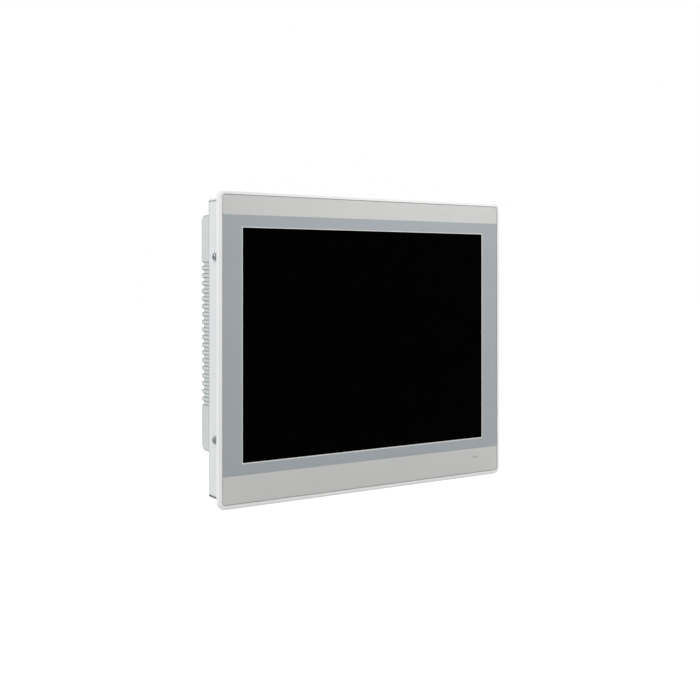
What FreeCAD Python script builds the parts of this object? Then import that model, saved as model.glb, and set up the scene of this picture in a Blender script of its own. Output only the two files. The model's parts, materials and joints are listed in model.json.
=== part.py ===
import FreeCAD, Part
import math
import os
import re
import Sketcher

# A 15 inch panel-mount operator panel, in millimetres.
# X runs to the right seen from the front, Y to the rear, Z up.
# The origin is the centre of the bezel flange's rear face, the plane that bears on the control cabinet.

doc = FreeCAD.newDocument("operator_panel")
sheet = doc.addObject("Spreadsheet::Sheet", "sizes")
pieces = []
vector = FreeCAD.Vector

# ---------------------------------------------------------------- driving dimensions

SIZES = {
    # front bezel
    "bezel_width": 357.6, "bezel_height": 307.5, "bezel_depth": 6.0, "bezel_corner": 6.5,
    "bezel_edge_round": 1.6, "rim_width": 3.6, "face_corner": 3.0, "face_wall": 1.2,
    "cavity_clearance": 0.15, "boss_radius": 3.0, "pilot_radius": 1.25,
    "groove_inset": 1.6, "groove_width": 2.6, "groove_depth": 1.2,
    # overlay film and display window
    "film_recess": 0.4, "film_thickness": 0.5, "film_gap": 0.35,
    "window_width": 305.0, "window_height": 229.0, "window_rise": 3.6, "window_bevel": 0.2,
    "window_ledge": 1.1,
    # touch glass and its seals
    "glass_width": 322.0, "glass_height": 246.0, "glass_thickness": 1.8, "seal_thickness": 0.4,
    "glass_gap": 0.2, "glass_set_back": 0.3,
    # display module, the outline of a common 15 inch module
    "module_width": 326.5, "module_height": 253.5, "module_depth": 7.8, "module_sheet": 0.5,
    "cell_width": 318.0, "cell_height": 243.0, "cell_thickness": 1.4, "guide_height": 234.0,
    # status indicators
    "light_x": 141.5, "light_z": -132.2, "light_spacing": 5.0, "light_radius": 1.1, "light_gap": 0.1,
    # chassis behind the flange
    "chassis_width": 345.6, "chassis_height": 295.5, "chassis_depth": 28.0, "chassis_wall": 1.5,
    "chassis_corner": 3.0, "chassis_entry": 2.0,
    "side_screw_y": 14.5, "side_screw_z": 89.4, "clamp_slot_width": 18.0, "clamp_slot_height": 5.0,
    "clamp_slot_y": 10.5, "clamp_slot_pitch": 120.0,
    # finned rear cover
    "cover_width": 333.6, "cover_height": 236.5, "cover_depth": 27.3, "cover_rise": 13.65,
    "cover_wall": 3.0, "cover_corner": 7.0, "cover_hollow": 18.0, "port_bay_hollow": 24.3,
    "port_bay_height": 40.0,
    "rib_pitch": 7.75, "notch_count": 19, "notch_mouth": 4.5, "notch_root": 3.0, "notch_depth": 3.0,
    "side_groove": 0.8, "foot_gap": 1.0, "foot_step": 1.2,
    "hanger_spacing": 100.0, "hanger_boss": 7.0, "hanger_hole": 1.65,
    "hanger_hole_depth": 8.0,
    "cover_screw_x": 155.0, "cover_screw_inner_x": 52.0, "cover_screw_top": 119.5,
    "cover_screw_bottom": -92.2, "cover_boss": 5.5, "counterbore_radius": 4.3, "counterbore_depth": 4.3,
    "plate_recess": 0.4, "plate_recess_width": 76.0, "plate_recess_height": 22.0, "plate_recess_z": 104.0,
    # boards
    "board_y": 33.0, "board_thickness": 1.6, "board_width": 280.0, "board_bottom": -99.0,
    "board_top": 95.0, "board_hole_x": 134.0, "board_hole_low": -75.0, "board_hole_high": 88.0,
    # port wall
    "port_plate": 1.0, "port_opening": 280.0, "jack_width": 16.2, "jack_height": 13.4,
    "jack_depth": 21.0, "usb_width": 14.5, "usb_height": 15.6, "usb_depth": 17.0,
    "serial_flange": 30.8, "serial_height": 12.5,
    # setting switches
    "slide_pitch": 2.54, "slide_travel": 1.6, "slide_gap": 0.3, "slide_x": 62.0,
    "reset_x": 82.0, "reset_radius": 1.75, "reset_travel": 0.5,
}
for row, (alias, value) in enumerate(SIZES.items(), start=1):
    sheet.set(f"A{row}", alias)
    sheet.set(f"B{row}", str(value))
    sheet.setAlias(f"B{row}", alias)
doc.recompute()

# Levels along Y and Z that several pieces share, as expressions of the cells above.
FRONT = "-bezel_depth"
FILM_FRONT = "(-bezel_depth + film_recess)"
FILM_BACK = "(-bezel_depth + film_recess + film_thickness)"
WALL_BACK = "(-bezel_depth + film_recess + film_thickness + face_wall)"
GLASS_FRONT = f"({WALL_BACK} + seal_thickness)"
GLASS_BACK = f"({GLASS_FRONT} + glass_thickness)"
MODULE_FRONT = f"({GLASS_BACK} + seal_thickness)"
MODULE_BACK = f"({MODULE_FRONT} + module_depth)"
CELL_BACK = f"({MODULE_FRONT} + module_sheet + cell_thickness)"
COVER_BACK = "(chassis_depth + cover_depth)"
COVER_BOTTOM = "(cover_rise - cover_height / 2)"
BOARD_BACK = "(board_y + board_thickness)"
PORT_FACE = f"({COVER_BOTTOM} + cover_wall)"
PORT_ROW = "(chassis_depth + 13.5)"
SWITCH_ROW = f"({BOARD_BACK} + 3.2)"
SERIAL_ROW = f"({BOARD_BACK} + serial_height / 2)"


# ---------------------------------------------------------------- working functions

def cells(text):
    """Give each size's name in an expression its sheet, so that the cell drives the property."""
    return re.sub(r"[a-z_]+", lambda word: f"sizes.{word[0]}" if word[0] in SIZES else word[0], str(text))


def amount(text):
    """The present value of an expression."""
    return float(sheet.evalExpression(cells(text)))


def bind(thing, name, text):
    thing.setExpression(name, cells(text))


def move(thing, x=0, y=0, z=0):
    for axis, text in (("x", x), ("y", y), ("z", z)):
        bind(thing, f"Placement.Base.{axis}", text)
    return thing


def keep(thing, label):
    """Register a finished sub-part; its label names its file."""
    thing.Label = label
    pieces.append(thing)
    return thing


def box(name, x, y, z):
    """A block between a low and a high bound on each axis."""
    block = doc.addObject("Part::Box", name)
    for length, (low, high) in (("Length", x), ("Width", y), ("Height", z)):
        bind(block, length, f"({high}) - ({low})")
    return move(block, x[0], y[0], z[0])


def block_at(name, x, y, z, width, depth, height):
    """A block centred on x and z that starts at y."""
    return box(
        name,
        (f"({x}) - ({width}) / 2", f"({x}) + ({width}) / 2"),
        (y, f"({y}) + ({depth})"),
        (f"({z}) - ({height}) / 2", f"({z}) + ({height}) / 2"),
    )


OUTWARD = {
    "rear": FreeCAD.Rotation(vector(1, 0, 0), -90),
    "left": FreeCAD.Rotation(vector(0, 1, 0), -90),
    "right": FreeCAD.Rotation(vector(0, 1, 0), 90),
    "down": FreeCAD.Rotation(vector(1, 0, 0), 180),
    "up": FreeCAD.Rotation(),
}


def cylinder(name, radius, length, x=0, y=0, z=0, way="rear"):
    rod = doc.addObject("Part::Cylinder", name)
    rod.Placement = FreeCAD.Placement(vector(), OUTWARD[way])
    bind(rod, "Radius", radius)
    bind(rod, "Height", length)
    return move(rod, x, y, z)


def fuse(name, parts):
    joined = doc.addObject("Part::MultiFuse", name)
    joined.Shapes = parts
    return joined


def cut(name, base, tools):
    result = doc.addObject("Part::Cut", name)
    result.Base = base
    result.Tool = tools[0] if len(tools) == 1 else fuse(f"{name}_tools", tools)
    return result


def group(name, parts):
    """Identical separate solids in one sub-part."""
    together = doc.addObject("Part::Compound", name)
    together.Links = parts
    return together


def screw(name, thread, length, head, rise, x, y, z, way):
    """A cross-recess pan-head screw whose head seats at x, y, z and faces outwards."""
    seat = cylinder(f"{name}_head", head, f"{rise} * 0.6", way="up")
    crown = doc.addObject("Part::Cone", f"{name}_crown")
    bind(crown, "Radius1", head)
    bind(crown, "Radius2", f"{head} * 0.72")
    bind(crown, "Height", f"{rise} * 0.4")
    move(crown, 0, 0, f"{rise} * 0.6")
    shank = cylinder(f"{name}_shank", thread, length, 0, 0, f"-{length}", "up")
    arms = [
        box(f"{name}_arm", (f"-{a}", a), (f"-{b}", b), (f"{rise} * 0.4", f"{rise} * 1.1"))
        for a, b in ((head * 0.5, thread * 0.2), (thread * 0.2, head * 0.5))
    ]
    done = cut(name, fuse(f"{name}_blank", [seat, crown, shank]), arms)
    done.Placement = FreeCAD.Placement(vector(), OUTWARD[way])
    return move(done, x, y, z)


def rectangle(width, height, across=0, along=0, corner=None):
    return {"width": width, "height": height, "across": across, "along": along, "corner": corner}


def circle(radius, across=0, along=0):
    return {"radius": radius, "across": across, "along": along}


def constrain(sketch, kind, places, text):
    """Add one dimension to a sketch, driven by an expression."""
    index = sketch.addConstraint(Sketcher.Constraint(kind, *places, amount(text)))
    bind(sketch, f"Constraints[{index}]", text)


def draw_circle(sketch, shape):
    centre = vector(amount(shape["across"]), amount(shape["along"]), 0)
    ring = sketch.addGeometry(Part.Circle(centre, vector(0, 0, 1), amount(shape["radius"])), False)
    constrain(sketch, "Radius", (ring,), shape["radius"])
    constrain(sketch, "DistanceX", (-1, 1, ring, 3), shape["across"])
    constrain(sketch, "DistanceY", (-1, 1, ring, 3), shape["along"])


def draw_rectangle(sketch, shape):
    """Four sides, joined by quarter arcs where the corners are round."""
    width, height = amount(shape["width"]), amount(shape["height"])
    corner = amount(shape["corner"]) if shape["corner"] else 0.0
    centre = vector(amount(shape["across"]), amount(shape["along"]), 0)
    sides, arcs = [], []
    for turn in range(4):
        half, rise = (width / 2, height / 2) if turn % 2 == 0 else (height / 2, width / 2)
        spin = FreeCAD.Rotation(vector(0, 0, 1), 90 * turn)
        start = centre + spin.multVec(vector(-half + corner, -rise, 0))
        end = centre + spin.multVec(vector(half - corner, -rise, 0))
        sides.append(sketch.addGeometry(Part.LineSegment(start, end), False))
        if corner:
            hub = centre + spin.multVec(vector(half - corner, -rise + corner, 0))
            ring = Part.Circle(hub, vector(0, 0, 1), corner)
            begin = math.pi / 2 * (turn - 1)
            arcs.append(sketch.addGeometry(Part.ArcOfCircle(ring, begin, begin + math.pi / 2), False))
    for turn, side in enumerate(sides):
        following = sides[(turn + 1) % 4]
        sketch.addConstraint(Sketcher.Constraint("Vertical" if turn % 2 else "Horizontal", side))
        if corner:
            sketch.addConstraint(Sketcher.Constraint("Tangent", side, 2, arcs[turn], 1))
            sketch.addConstraint(Sketcher.Constraint("Tangent", arcs[turn], 2, following, 1))
        else:
            sketch.addConstraint(Sketcher.Constraint("Coincident", side, 2, following, 1))
    for arc in arcs[1:]:
        sketch.addConstraint(Sketcher.Constraint("Equal", arcs[0], arc))
    if corner:
        constrain(sketch, "Radius", (arcs[0],), shape["corner"])
    constrain(sketch, "DistanceX", (sides[3], 1, sides[1], 1), shape["width"])
    constrain(sketch, "DistanceY", (sides[0], 1, sides[2], 1), shape["height"])
    constrain(sketch, "DistanceX", (-1, 1, sides[3], 1), f"({shape['across']}) - ({shape['width']}) / 2")
    constrain(sketch, "DistanceY", (-1, 1, sides[0], 1), f"({shape['along']}) - ({shape['height']}) / 2")


def draw_polygon(sketch, corners):
    """A closed outline whose every corner is fixed by two dimensions."""
    points = [vector(amount(across), amount(along), 0) for across, along in corners]
    lines = []
    for start, end in zip(points, points[1:] + points[:1]):
        lines.append(sketch.addGeometry(Part.LineSegment(start, end), False))
    for line, following in zip(lines, lines[1:] + lines[:1]):
        sketch.addConstraint(Sketcher.Constraint("Coincident", line, 2, following, 1))
    for line, (across, along) in zip(lines, corners):
        constrain(sketch, "DistanceX", (-1, 1, line, 1), across)
        constrain(sketch, "DistanceY", (-1, 1, line, 1), along)


def body(name):
    return doc.addObject("PartDesign::Body", name)


def sketch_on(part, plane, level, shapes):
    """A sketch on one of the body's origin planes, moved out to a level along the plane's axis."""
    sketch = part.newObject("Sketcher::SketchObject", f"{part.Name}_sketch")
    base = next(item for item in part.Origin.OriginFeatures if item.Role == f"{plane}_Plane")
    sketch.AttachmentSupport = [(base, "")]
    sketch.MapMode = "FlatFace"
    bind(sketch, "AttachmentOffset.Base.z", f"-({level})" if plane == "XZ" else level)
    for shape in shapes:
        if isinstance(shape, list):
            draw_polygon(sketch, shape)
        elif "radius" in shape:
            draw_circle(sketch, shape)
        else:
            draw_rectangle(sketch, shape)
    return sketch


def feature(kind, part, plane, level, length, shapes):
    """A pad or pocket that runs from its sketch towards the plane's positive axis."""
    profile = sketch_on(part, plane, level, shapes)
    made = part.newObject(f"PartDesign::{kind}", f"{part.Name}_{kind.lower()}")
    made.Profile = profile
    made.Reversed = (plane == "XZ") == (kind == "Pad")
    bind(made, "Length", length)
    return made


def pad(part, plane, level, length, *shapes):
    return feature("Pad", part, plane, level, length, shapes)


def pocket(part, plane, level, length, *shapes):
    return feature("Pocket", part, plane, level, length, shapes)


def dress(kind, part, size, chosen):
    """Fillet or chamfer the edges of the body's tip that pass a test."""
    doc.recompute()
    base = part.Tip
    names = [f"Edge{i}" for i, edge in enumerate(base.Shape.Edges, start=1) if chosen(edge)]
    made = part.newObject(f"PartDesign::{kind}", f"{part.Name}_{kind.lower()}")
    made.Base = (base, names)
    bind(made, "Radius" if kind == "Fillet" else "Size", size)
    return made


def lies_at(edge, axis, level):
    """Whether both ends of an edge's box lie at one level along an axis."""
    bounds = edge.BoundBox
    low, high = getattr(bounds, f"{axis}Min"), getattr(bounds, f"{axis}Max")
    return abs(low - level) < 0.01 and abs(high - level) < 0.01


def frame_piece(name, outer, inner, level, length):
    """A flat ring, such as a seal: one outline with another inside it."""
    ring = body(name)
    pad(ring, "XZ", level, length, outer, inner)
    return keep(ring, name)


# ---------------------------------------------------------------- front bezel

BRACKET_BOSSES = [(side, rise) for side in (-1, 1) for rise in (-70, 0, 70)]
BOSS_X = 167.5
INDICATOR_BOSS_OFFSET = 14


def front_bezel():
    """Die-cast frame: raised rim, sunk face for the film, bevelled window, bosses and rear flange."""
    part = body("front_bezel")
    pad(part, "XZ", FRONT, "bezel_depth", rectangle("bezel_width", "bezel_height", corner="bezel_corner"))
    front = amount(FRONT)
    dress("Fillet", part, "bezel_edge_round", lambda edge: lies_at(edge, "Y", front))
    face = rectangle("bezel_width - 2 * rim_width", "bezel_height - 2 * rim_width", corner="face_corner")
    pocket(part, "XZ", FRONT, "film_recess + film_thickness", face)
    window = rectangle("window_width", "window_height", 0, "window_rise", "0.8")
    pocket(part, "XZ", FILM_BACK, "face_wall", window)
    cavity = rectangle(
        "chassis_width + 2 * cavity_clearance", "chassis_height + 2 * cavity_clearance",
        corner="chassis_corner",
    )
    pocket(part, "XZ", WALL_BACK, f"-{WALL_BACK}", cavity)
    sink = amount(FILM_BACK)
    reach = amount("window_width") / 2 + 0.5
    dress(
        "Chamfer", part, "window_bevel",
        lambda edge: lies_at(edge, "Y", sink) and abs(edge.BoundBox.XMax) < reach
        and abs(edge.BoundBox.XMin) < reach,
    )
    spots = [(f"{side * BOSS_X}", f"window_rise + {rise}") for side, rise in BRACKET_BOSSES]
    pad(part, "XZ", WALL_BACK, f"{MODULE_BACK} - {WALL_BACK}", *[circle("boss_radius", *s) for s in spots])
    pocket(part, "XZ", "0", MODULE_BACK, *[circle("pilot_radius", *s) for s in spots])
    lugs = [
        rectangle("7", "12", f"{side} * (chassis_width / 2 - chassis_wall - 3.5)", f"{up} * side_screw_z")
        for side in (-1, 1) for up in (-1, 1)
    ]
    pad(part, "XZ", WALL_BACK, f"side_screw_y + 6 - {WALL_BACK}", *lugs)
    taps = [circle("hanger_hole", "side_screw_y", f"{up} * side_screw_z") for up in (-1, 1)]
    pocket(part, "YZ", "-bezel_width / 2", "bezel_width", *taps)
    stakes = [(f"light_x + {s * INDICATOR_BOSS_OFFSET}", "light_z") for s in (-1, 1)]
    pad(part, "XZ", WALL_BACK, f"4 - {WALL_BACK}", *[circle("2.5", *s) for s in stakes])
    lights = [circle("light_radius + light_gap", f"light_x + {s} * light_spacing / 2", "light_z")
              for s in (-1, 1)]
    pocket(part, "XZ", FILM_BACK, "face_wall", *lights)
    groove = [
        rectangle(
            f"bezel_width - 2 * groove_inset - {k} * groove_width",
            f"bezel_height - 2 * groove_inset - {k} * groove_width",
            corner=f"bezel_corner - groove_inset - {k / 2} * groove_width",
        )
        for k in (0, 2)
    ]
    pocket(part, "XZ", "-groove_depth", "groove_depth", *groove)
    return keep(part, "front_bezel")


def front_overlay():
    """Printed film over the sunk face, open at the window and at the two indicators."""
    part = body("front_overlay")
    face = rectangle(
        "bezel_width - 2 * rim_width - 2 * film_gap", "bezel_height - 2 * rim_width - 2 * film_gap",
        corner="face_corner - film_gap",
    )
    pad(part, "XZ", FILM_FRONT, "film_thickness", face)
    opening = rectangle(
        "window_width + 2 * window_ledge", "window_height + 2 * window_ledge", 0, "window_rise",
        "window_ledge",
    )
    lights = [circle("light_radius + light_gap", f"light_x + {s} * light_spacing / 2", "light_z")
              for s in (-1, 1)]
    pocket(part, "XZ", FILM_FRONT, "film_thickness", opening, *lights)
    return keep(part, "front_overlay")


def seals_and_glass():
    """The panel seal, and the touch glass between its foam seals, its front almost flush with the film."""
    middle = "bezel_width - 2 * groove_inset"
    tall = "bezel_height - 2 * groove_inset"
    frame_piece(
        "panel_gasket",
        rectangle(f"{middle} - 0.2", f"{tall} - 0.2", corner="bezel_corner - groove_inset - 0.1"),
        rectangle(
            f"{middle} - 2 * groove_width + 0.2", f"{tall} - 2 * groove_width + 0.2",
            corner="bezel_corner - groove_inset - groove_width + 0.1",
        ),
        "-groove_depth", "groove_depth - 0.1",
    )
    outer = rectangle("glass_width", "glass_height", 0, "window_rise", "2")
    frame_piece(
        "touch_gasket", outer,
        rectangle("window_width + 4", "window_height + 4", 0, "window_rise", "1.5"),
        WALL_BACK, "seal_thickness",
    )
    glass = body("touch_glass")
    pad(glass, "XZ", GLASS_FRONT, "glass_thickness", outer)
    step = f"({FILM_FRONT} + glass_set_back)"
    pad(glass, "XZ", step, f"{GLASS_FRONT} - {step}",
        rectangle("window_width - 2 * glass_gap", "window_height - 2 * glass_gap", 0, "window_rise", "0.6"))
    keep(glass, "touch_glass")
    frame_piece(
        "dust_seal", outer,
        rectangle("window_width + 2", "window_height + 2", 0, "window_rise", "1.5"),
        GLASS_BACK, "seal_thickness",
    )


# ---------------------------------------------------------------- display module

def display_module():
    """Pressed front frame, glass cell, sheets, light guide between LED strips, moulded frame, rear pan."""
    shell = body("lcd_front_frame")
    pad(shell, "XZ", MODULE_FRONT, "module_depth - module_sheet",
        rectangle("module_width", "module_height", 0, "window_rise", "1.5"))
    pocket(shell, "XZ", f"{MODULE_FRONT} + module_sheet", "module_depth",
           rectangle("module_width - 2 * module_sheet", "module_height - 2 * module_sheet",
                     0, "window_rise", "1"))
    pocket(shell, "XZ", MODULE_FRONT, "module_sheet",
           rectangle("window_width + 1", "window_height + 1", 0, "window_rise", "0.8"))
    keep(shell, "lcd_front_frame")
    inside = f"{MODULE_FRONT} + module_sheet"
    depth = "module_depth - 2 * module_sheet"
    frame_piece(
        "lcd_mid_frame",
        rectangle("module_width - 2 * module_sheet - 0.2", "module_height - 2 * module_sheet - 0.2",
                  0, "window_rise", "1"),
        rectangle("cell_width + 0.4", "cell_height + 0.4", 0, "window_rise"),
        inside, depth,
    )
    layers = (
        ("lcd_cell", "cell_height", inside, "cell_thickness"),
        ("optical_sheets", "cell_height", CELL_BACK, "0.6"),
        ("light_guide", "guide_height", f"{CELL_BACK} + 0.7", "3.6"),
    )
    for name, height, level, thickness in layers:
        keep(block_at(name, 0, level, "window_rise", "cell_width", thickness, height), name)
    strips = []
    for up in (-1, 1):
        edge = f"window_rise + {up} * (guide_height / 2 + 3)"
        strip = block_at("led_strip", 0, f"{CELL_BACK} + 0.7", edge, "cell_width - 8", "3.6", "0.8")
        lamps = [
            block_at("led_lamp", 25 * k, f"{CELL_BACK} + 1.2", f"({edge}) - {up} * 1", 5, 2.6, 1.6)
            for k in range(-6, 7)
        ]
        strips.append(fuse("led_strip_joined", [strip] + lamps))
    keep(group("led_strips", strips), "led_strips")
    pan = block_at("pan_plate", 0, f"{MODULE_BACK} - module_sheet", "window_rise",
                   "module_width - 0.4", "module_sheet", "module_height - 0.4")
    beads = [
        block_at("pan_bead", 0, MODULE_BACK, f"window_rise + {rise}", 200, 0.6, 8) for rise in (-60, 60)
    ]
    keep(fuse("lcd_rear_pan", [pan] + beads), "lcd_rear_pan")
    panel = block_at("control_board", -30, MODULE_BACK, "window_rise + 100", 180, 1.2, 24)
    chip = block_at("control_chip", -50, f"{MODULE_BACK} + 1.2", "window_rise + 100", 20, 1.4, 12)
    keep(fuse("lcd_control_board", [panel, chip]), "lcd_control_board")
    clips, fixings = [], []
    for side in (-1, 1):
        strap = block_at("bracket_strap", f"{side} * 164.2", MODULE_BACK, "window_rise", 13, 1.2, 154)
        bores = [
            cylinder("bracket_bore", 1.7, 4, side * BOSS_X, f"{MODULE_BACK} - 1", f"window_rise + {rise}")
            for rise in (-70, 0, 70)
        ]
        clips.append(cut("lcd_bracket", strap, bores))
    for side, rise in BRACKET_BOSSES:
        fixings.append(screw("bracket_screw", 1.2, 7, 2.8, 1.9, side * BOSS_X,
                             f"{MODULE_BACK} + 1.2", f"window_rise + {rise}", "rear"))
    keep(group("lcd_brackets", clips), "lcd_brackets")
    keep(group("bracket_screws", fixings), "bracket_screws")


def status_lights():
    """Two light pipes on a carrier behind the bezel wall, and the small board that lights them."""
    rods = [
        cylinder("light_rod", "light_radius", f"6 - {FILM_FRONT}",
                 f"light_x + {s} * light_spacing / 2", FILM_FRONT, "light_z")
        for s in (-1, 1)
    ]
    carrier = block_at("light_carrier", "light_x", WALL_BACK, "light_z", 12, 1.5, 5)
    keep(fuse("status_light_pipe", rods + [carrier]), "status_light_pipe")
    plate = block_at("indicator_plate", "light_x", "7", "light_z", 36, 1.2, 12)
    lamps = [block_at("indicator_lamp", f"light_x + {s} * light_spacing / 2", "6.2", "light_z", 2, 0.8, 1.6)
             for s in (-1, 1)]
    posts = [cylinder("indicator_post", 2.4, 3, f"light_x + {s * INDICATOR_BOSS_OFFSET}", "4", "light_z")
             for s in (-1, 1)]
    keep(fuse("indicator_board", [plate] + lamps + posts), "indicator_board")


# ---------------------------------------------------------------- chassis and rear cover

COVER_SCREWS = (
    [(f"{s} * cover_screw_x", level) for s in (-1, 1) for level in ("cover_screw_top", "cover_screw_bottom")]
    + [(f"{s} * cover_screw_inner_x", "cover_screw_top") for s in (-1, 1)]
)
CABLE_SLOTS = (-84, 20, 100)
CABLE_SLOT_Z = 108


def rear_chassis():
    """Sheet box behind the flange: side screw holes in dimples, clamp slots, cable slots, nut holes."""
    part = body("rear_chassis")
    depth = "chassis_depth + chassis_entry"
    pad(part, "XZ", "-chassis_entry", depth,
        rectangle("chassis_width", "chassis_height", corner="chassis_corner"))
    pocket(part, "XZ", "-chassis_entry", f"{depth} - chassis_wall",
           rectangle("chassis_width - 2 * chassis_wall", "chassis_height - 2 * chassis_wall",
                     corner="chassis_corner - chassis_wall"))
    sides = [("side_screw_y", f"{up} * side_screw_z") for up in (-1, 1)]
    pocket(part, "YZ", "-chassis_width / 2", "chassis_width", *[circle("2.2", *s) for s in sides])
    for level in ("-chassis_width / 2", "chassis_width / 2 - 0.5"):
        pocket(part, "YZ", level, "0.5", *[circle("5", *s) for s in sides])
    slots = [
        rectangle("clamp_slot_width", "clamp_slot_height", f"{k} * clamp_slot_pitch", "clamp_slot_y", "1")
        for k in (-1, 0, 1)
    ]
    pocket(part, "XY", "-chassis_height / 2", "chassis_height", *slots)
    passes = [rectangle("30", "14", str(x), str(CABLE_SLOT_Z), "3") for x in CABLE_SLOTS]
    nuts = [circle("2.6", *spot) for spot in COVER_SCREWS]
    earth = circle("1.65", "150", "-125")
    pocket(part, "XZ", "chassis_depth - chassis_wall", "chassis_wall", *passes, *nuts, earth)
    return keep(part, "rear_chassis")


def heat_sink_cover():
    """Cast rear cover: horizontal ribs, grooved ends, hollow inside, bosses and the port opening."""
    part = body("heat_sink_cover")
    profile = rectangle("cover_depth", "cover_height", "chassis_depth + cover_depth / 2", "cover_rise")
    pad(part, "YZ", "-cover_width / 2", "cover_width", profile)
    back = amount(COVER_BACK)
    dress("Fillet", part, "cover_corner",
          lambda edge: lies_at(edge, "Y", back) and edge.BoundBox.XLength > 10)
    pocket(part, "XZ", "chassis_depth", "foot_gap",
           rectangle("cover_width + 2", "cover_height + 2", 0, "cover_rise"),
           rectangle("cover_width - 2 * foot_step", "cover_height - 2 * foot_step", 0, "cover_rise"))
    pocket(part, "XZ", "chassis_depth", "cover_hollow",
           rectangle("cover_width - 2 * cover_wall", "cover_height - 2 * cover_wall", 0, "cover_rise", "2"))
    pocket(part, "XZ", "chassis_depth", "port_bay_hollow",
           rectangle("cover_width - 2 * cover_wall", "port_bay_height", 0,
                     f"{PORT_FACE} + port_bay_height / 2", "2"))
    pad(part, "XZ", "chassis_depth", "port_bay_hollow + 0.5",
        *[circle("cover_boss", *s) for s in COVER_SCREWS])
    pocket(part, "XZ", "chassis_depth", "cover_depth", *[circle("2.25", *s) for s in COVER_SCREWS])
    pocket(part, "XZ", f"{COVER_BACK} - counterbore_depth", "counterbore_depth",
           *[circle("counterbore_radius", *s) for s in COVER_SCREWS])
    pocket(part, "XZ", f"{COVER_BACK} - plate_recess", "plate_recess",
           rectangle("plate_recess_width", "plate_recess_height", 0, "plate_recess_z", "2"))
    pocket(part, "XY", COVER_BOTTOM, "cover_wall",
           rectangle("port_opening", "17", 0, PORT_ROW, "2"),
           *[circle("1.7", x, PORT_ROW) for x in ("-145", "145")])
    first = "(cover_rise + (notch_count - 1) / 2 * rib_pitch - 0.4)"
    tooth = [
        (COVER_BACK, f"{first} - notch_mouth / 2"), (COVER_BACK, f"{first} + notch_mouth / 2"),
        (f"{COVER_BACK} - notch_depth", f"{first} + notch_root / 2"),
        (f"{COVER_BACK} - notch_depth", f"{first} - notch_root / 2"),
    ]
    notch = pocket(part, "YZ", "-cover_width / 2", "cover_width", tooth)
    groove = rectangle("cover_depth - 3", "notch_root", f"chassis_depth + (cover_depth + 3) / 2", first)
    left = pocket(part, "YZ", "-cover_width / 2", "side_groove", groove)
    right = pocket(part, "YZ", "cover_width / 2 - side_groove", "side_groove", groove)
    doc.recompute()
    rows = part.newObject("PartDesign::LinearPattern", "rib_rows")
    rows.Originals = [notch, left, right]
    rows.Direction = (left.Profile[0], ["V_Axis"])
    rows.Reversed = True
    bind(rows, "Occurrences", "notch_count")
    bind(rows, "Length", "(notch_count - 1) * rib_pitch")
    part.Tip = rows
    corners = [(f"{s} * hanger_spacing / 2", f"cover_rise + {u} * hanger_spacing / 2")
               for s in (-1, 1) for u in (-1, 1)]
    pad(part, "XZ", "chassis_depth + cover_hollow", "cover_depth - cover_hollow",
        *[circle("hanger_boss", *spot) for spot in corners])
    pocket(part, "XZ", f"{COVER_BACK} - hanger_hole_depth", "hanger_hole_depth",
           *[circle("hanger_hole", *spot) for spot in corners])
    return keep(part, "heat_sink_cover")


def case_fixings():
    """Side screws into the bezel lugs, cover screws into clinch nuts, and the earth screw."""
    sides = []
    for side, way in ((-1, "left"), (1, "right")):
        for up in (-1, 1):
            sides.append(screw("side_screw", 1.6, 7.5, 3.4, 2.2, f"{side} * (chassis_width / 2 - 0.5)",
                               "side_screw_y", f"{up} * side_screw_z", way))
    keep(group("side_screws", sides), "side_screws")
    rear, nuts = [], []
    for x, z in COVER_SCREWS:
        rear.append(screw("cover_screw", 1.9, 28, 3.6, 2.4, x, f"{COVER_BACK} - counterbore_depth",
                          z, "rear"))
        nut = fuse("nut_blank", [
            cylinder("nut_flange", 4.2, 3.5, x, "chassis_depth - chassis_wall - 3.5", z),
            cylinder("nut_collar", 2.5, 1.5, x, "chassis_depth - chassis_wall", z),
        ])
        bore = cylinder("nut_bore", 1.95, 6, x, "chassis_depth - chassis_wall - 4", z)
        nuts.append(cut("clinch_nut", nut, [bore]))
    keep(group("cover_screws", rear), "cover_screws")
    keep(group("clinch_nuts", nuts), "clinch_nuts")
    keep(screw("earth_screw", 1.6, 6, 4, 2.6, "150", "chassis_depth", "-125", "rear"), "earth_screw")


# ---------------------------------------------------------------- electronics

BOARD_HOLES = [(f"{k} * board_hole_x", level) for k in (-1, 0, 1)
               for level in ("board_hole_low", "board_hole_high")]
CPU = (30, 22)


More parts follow.
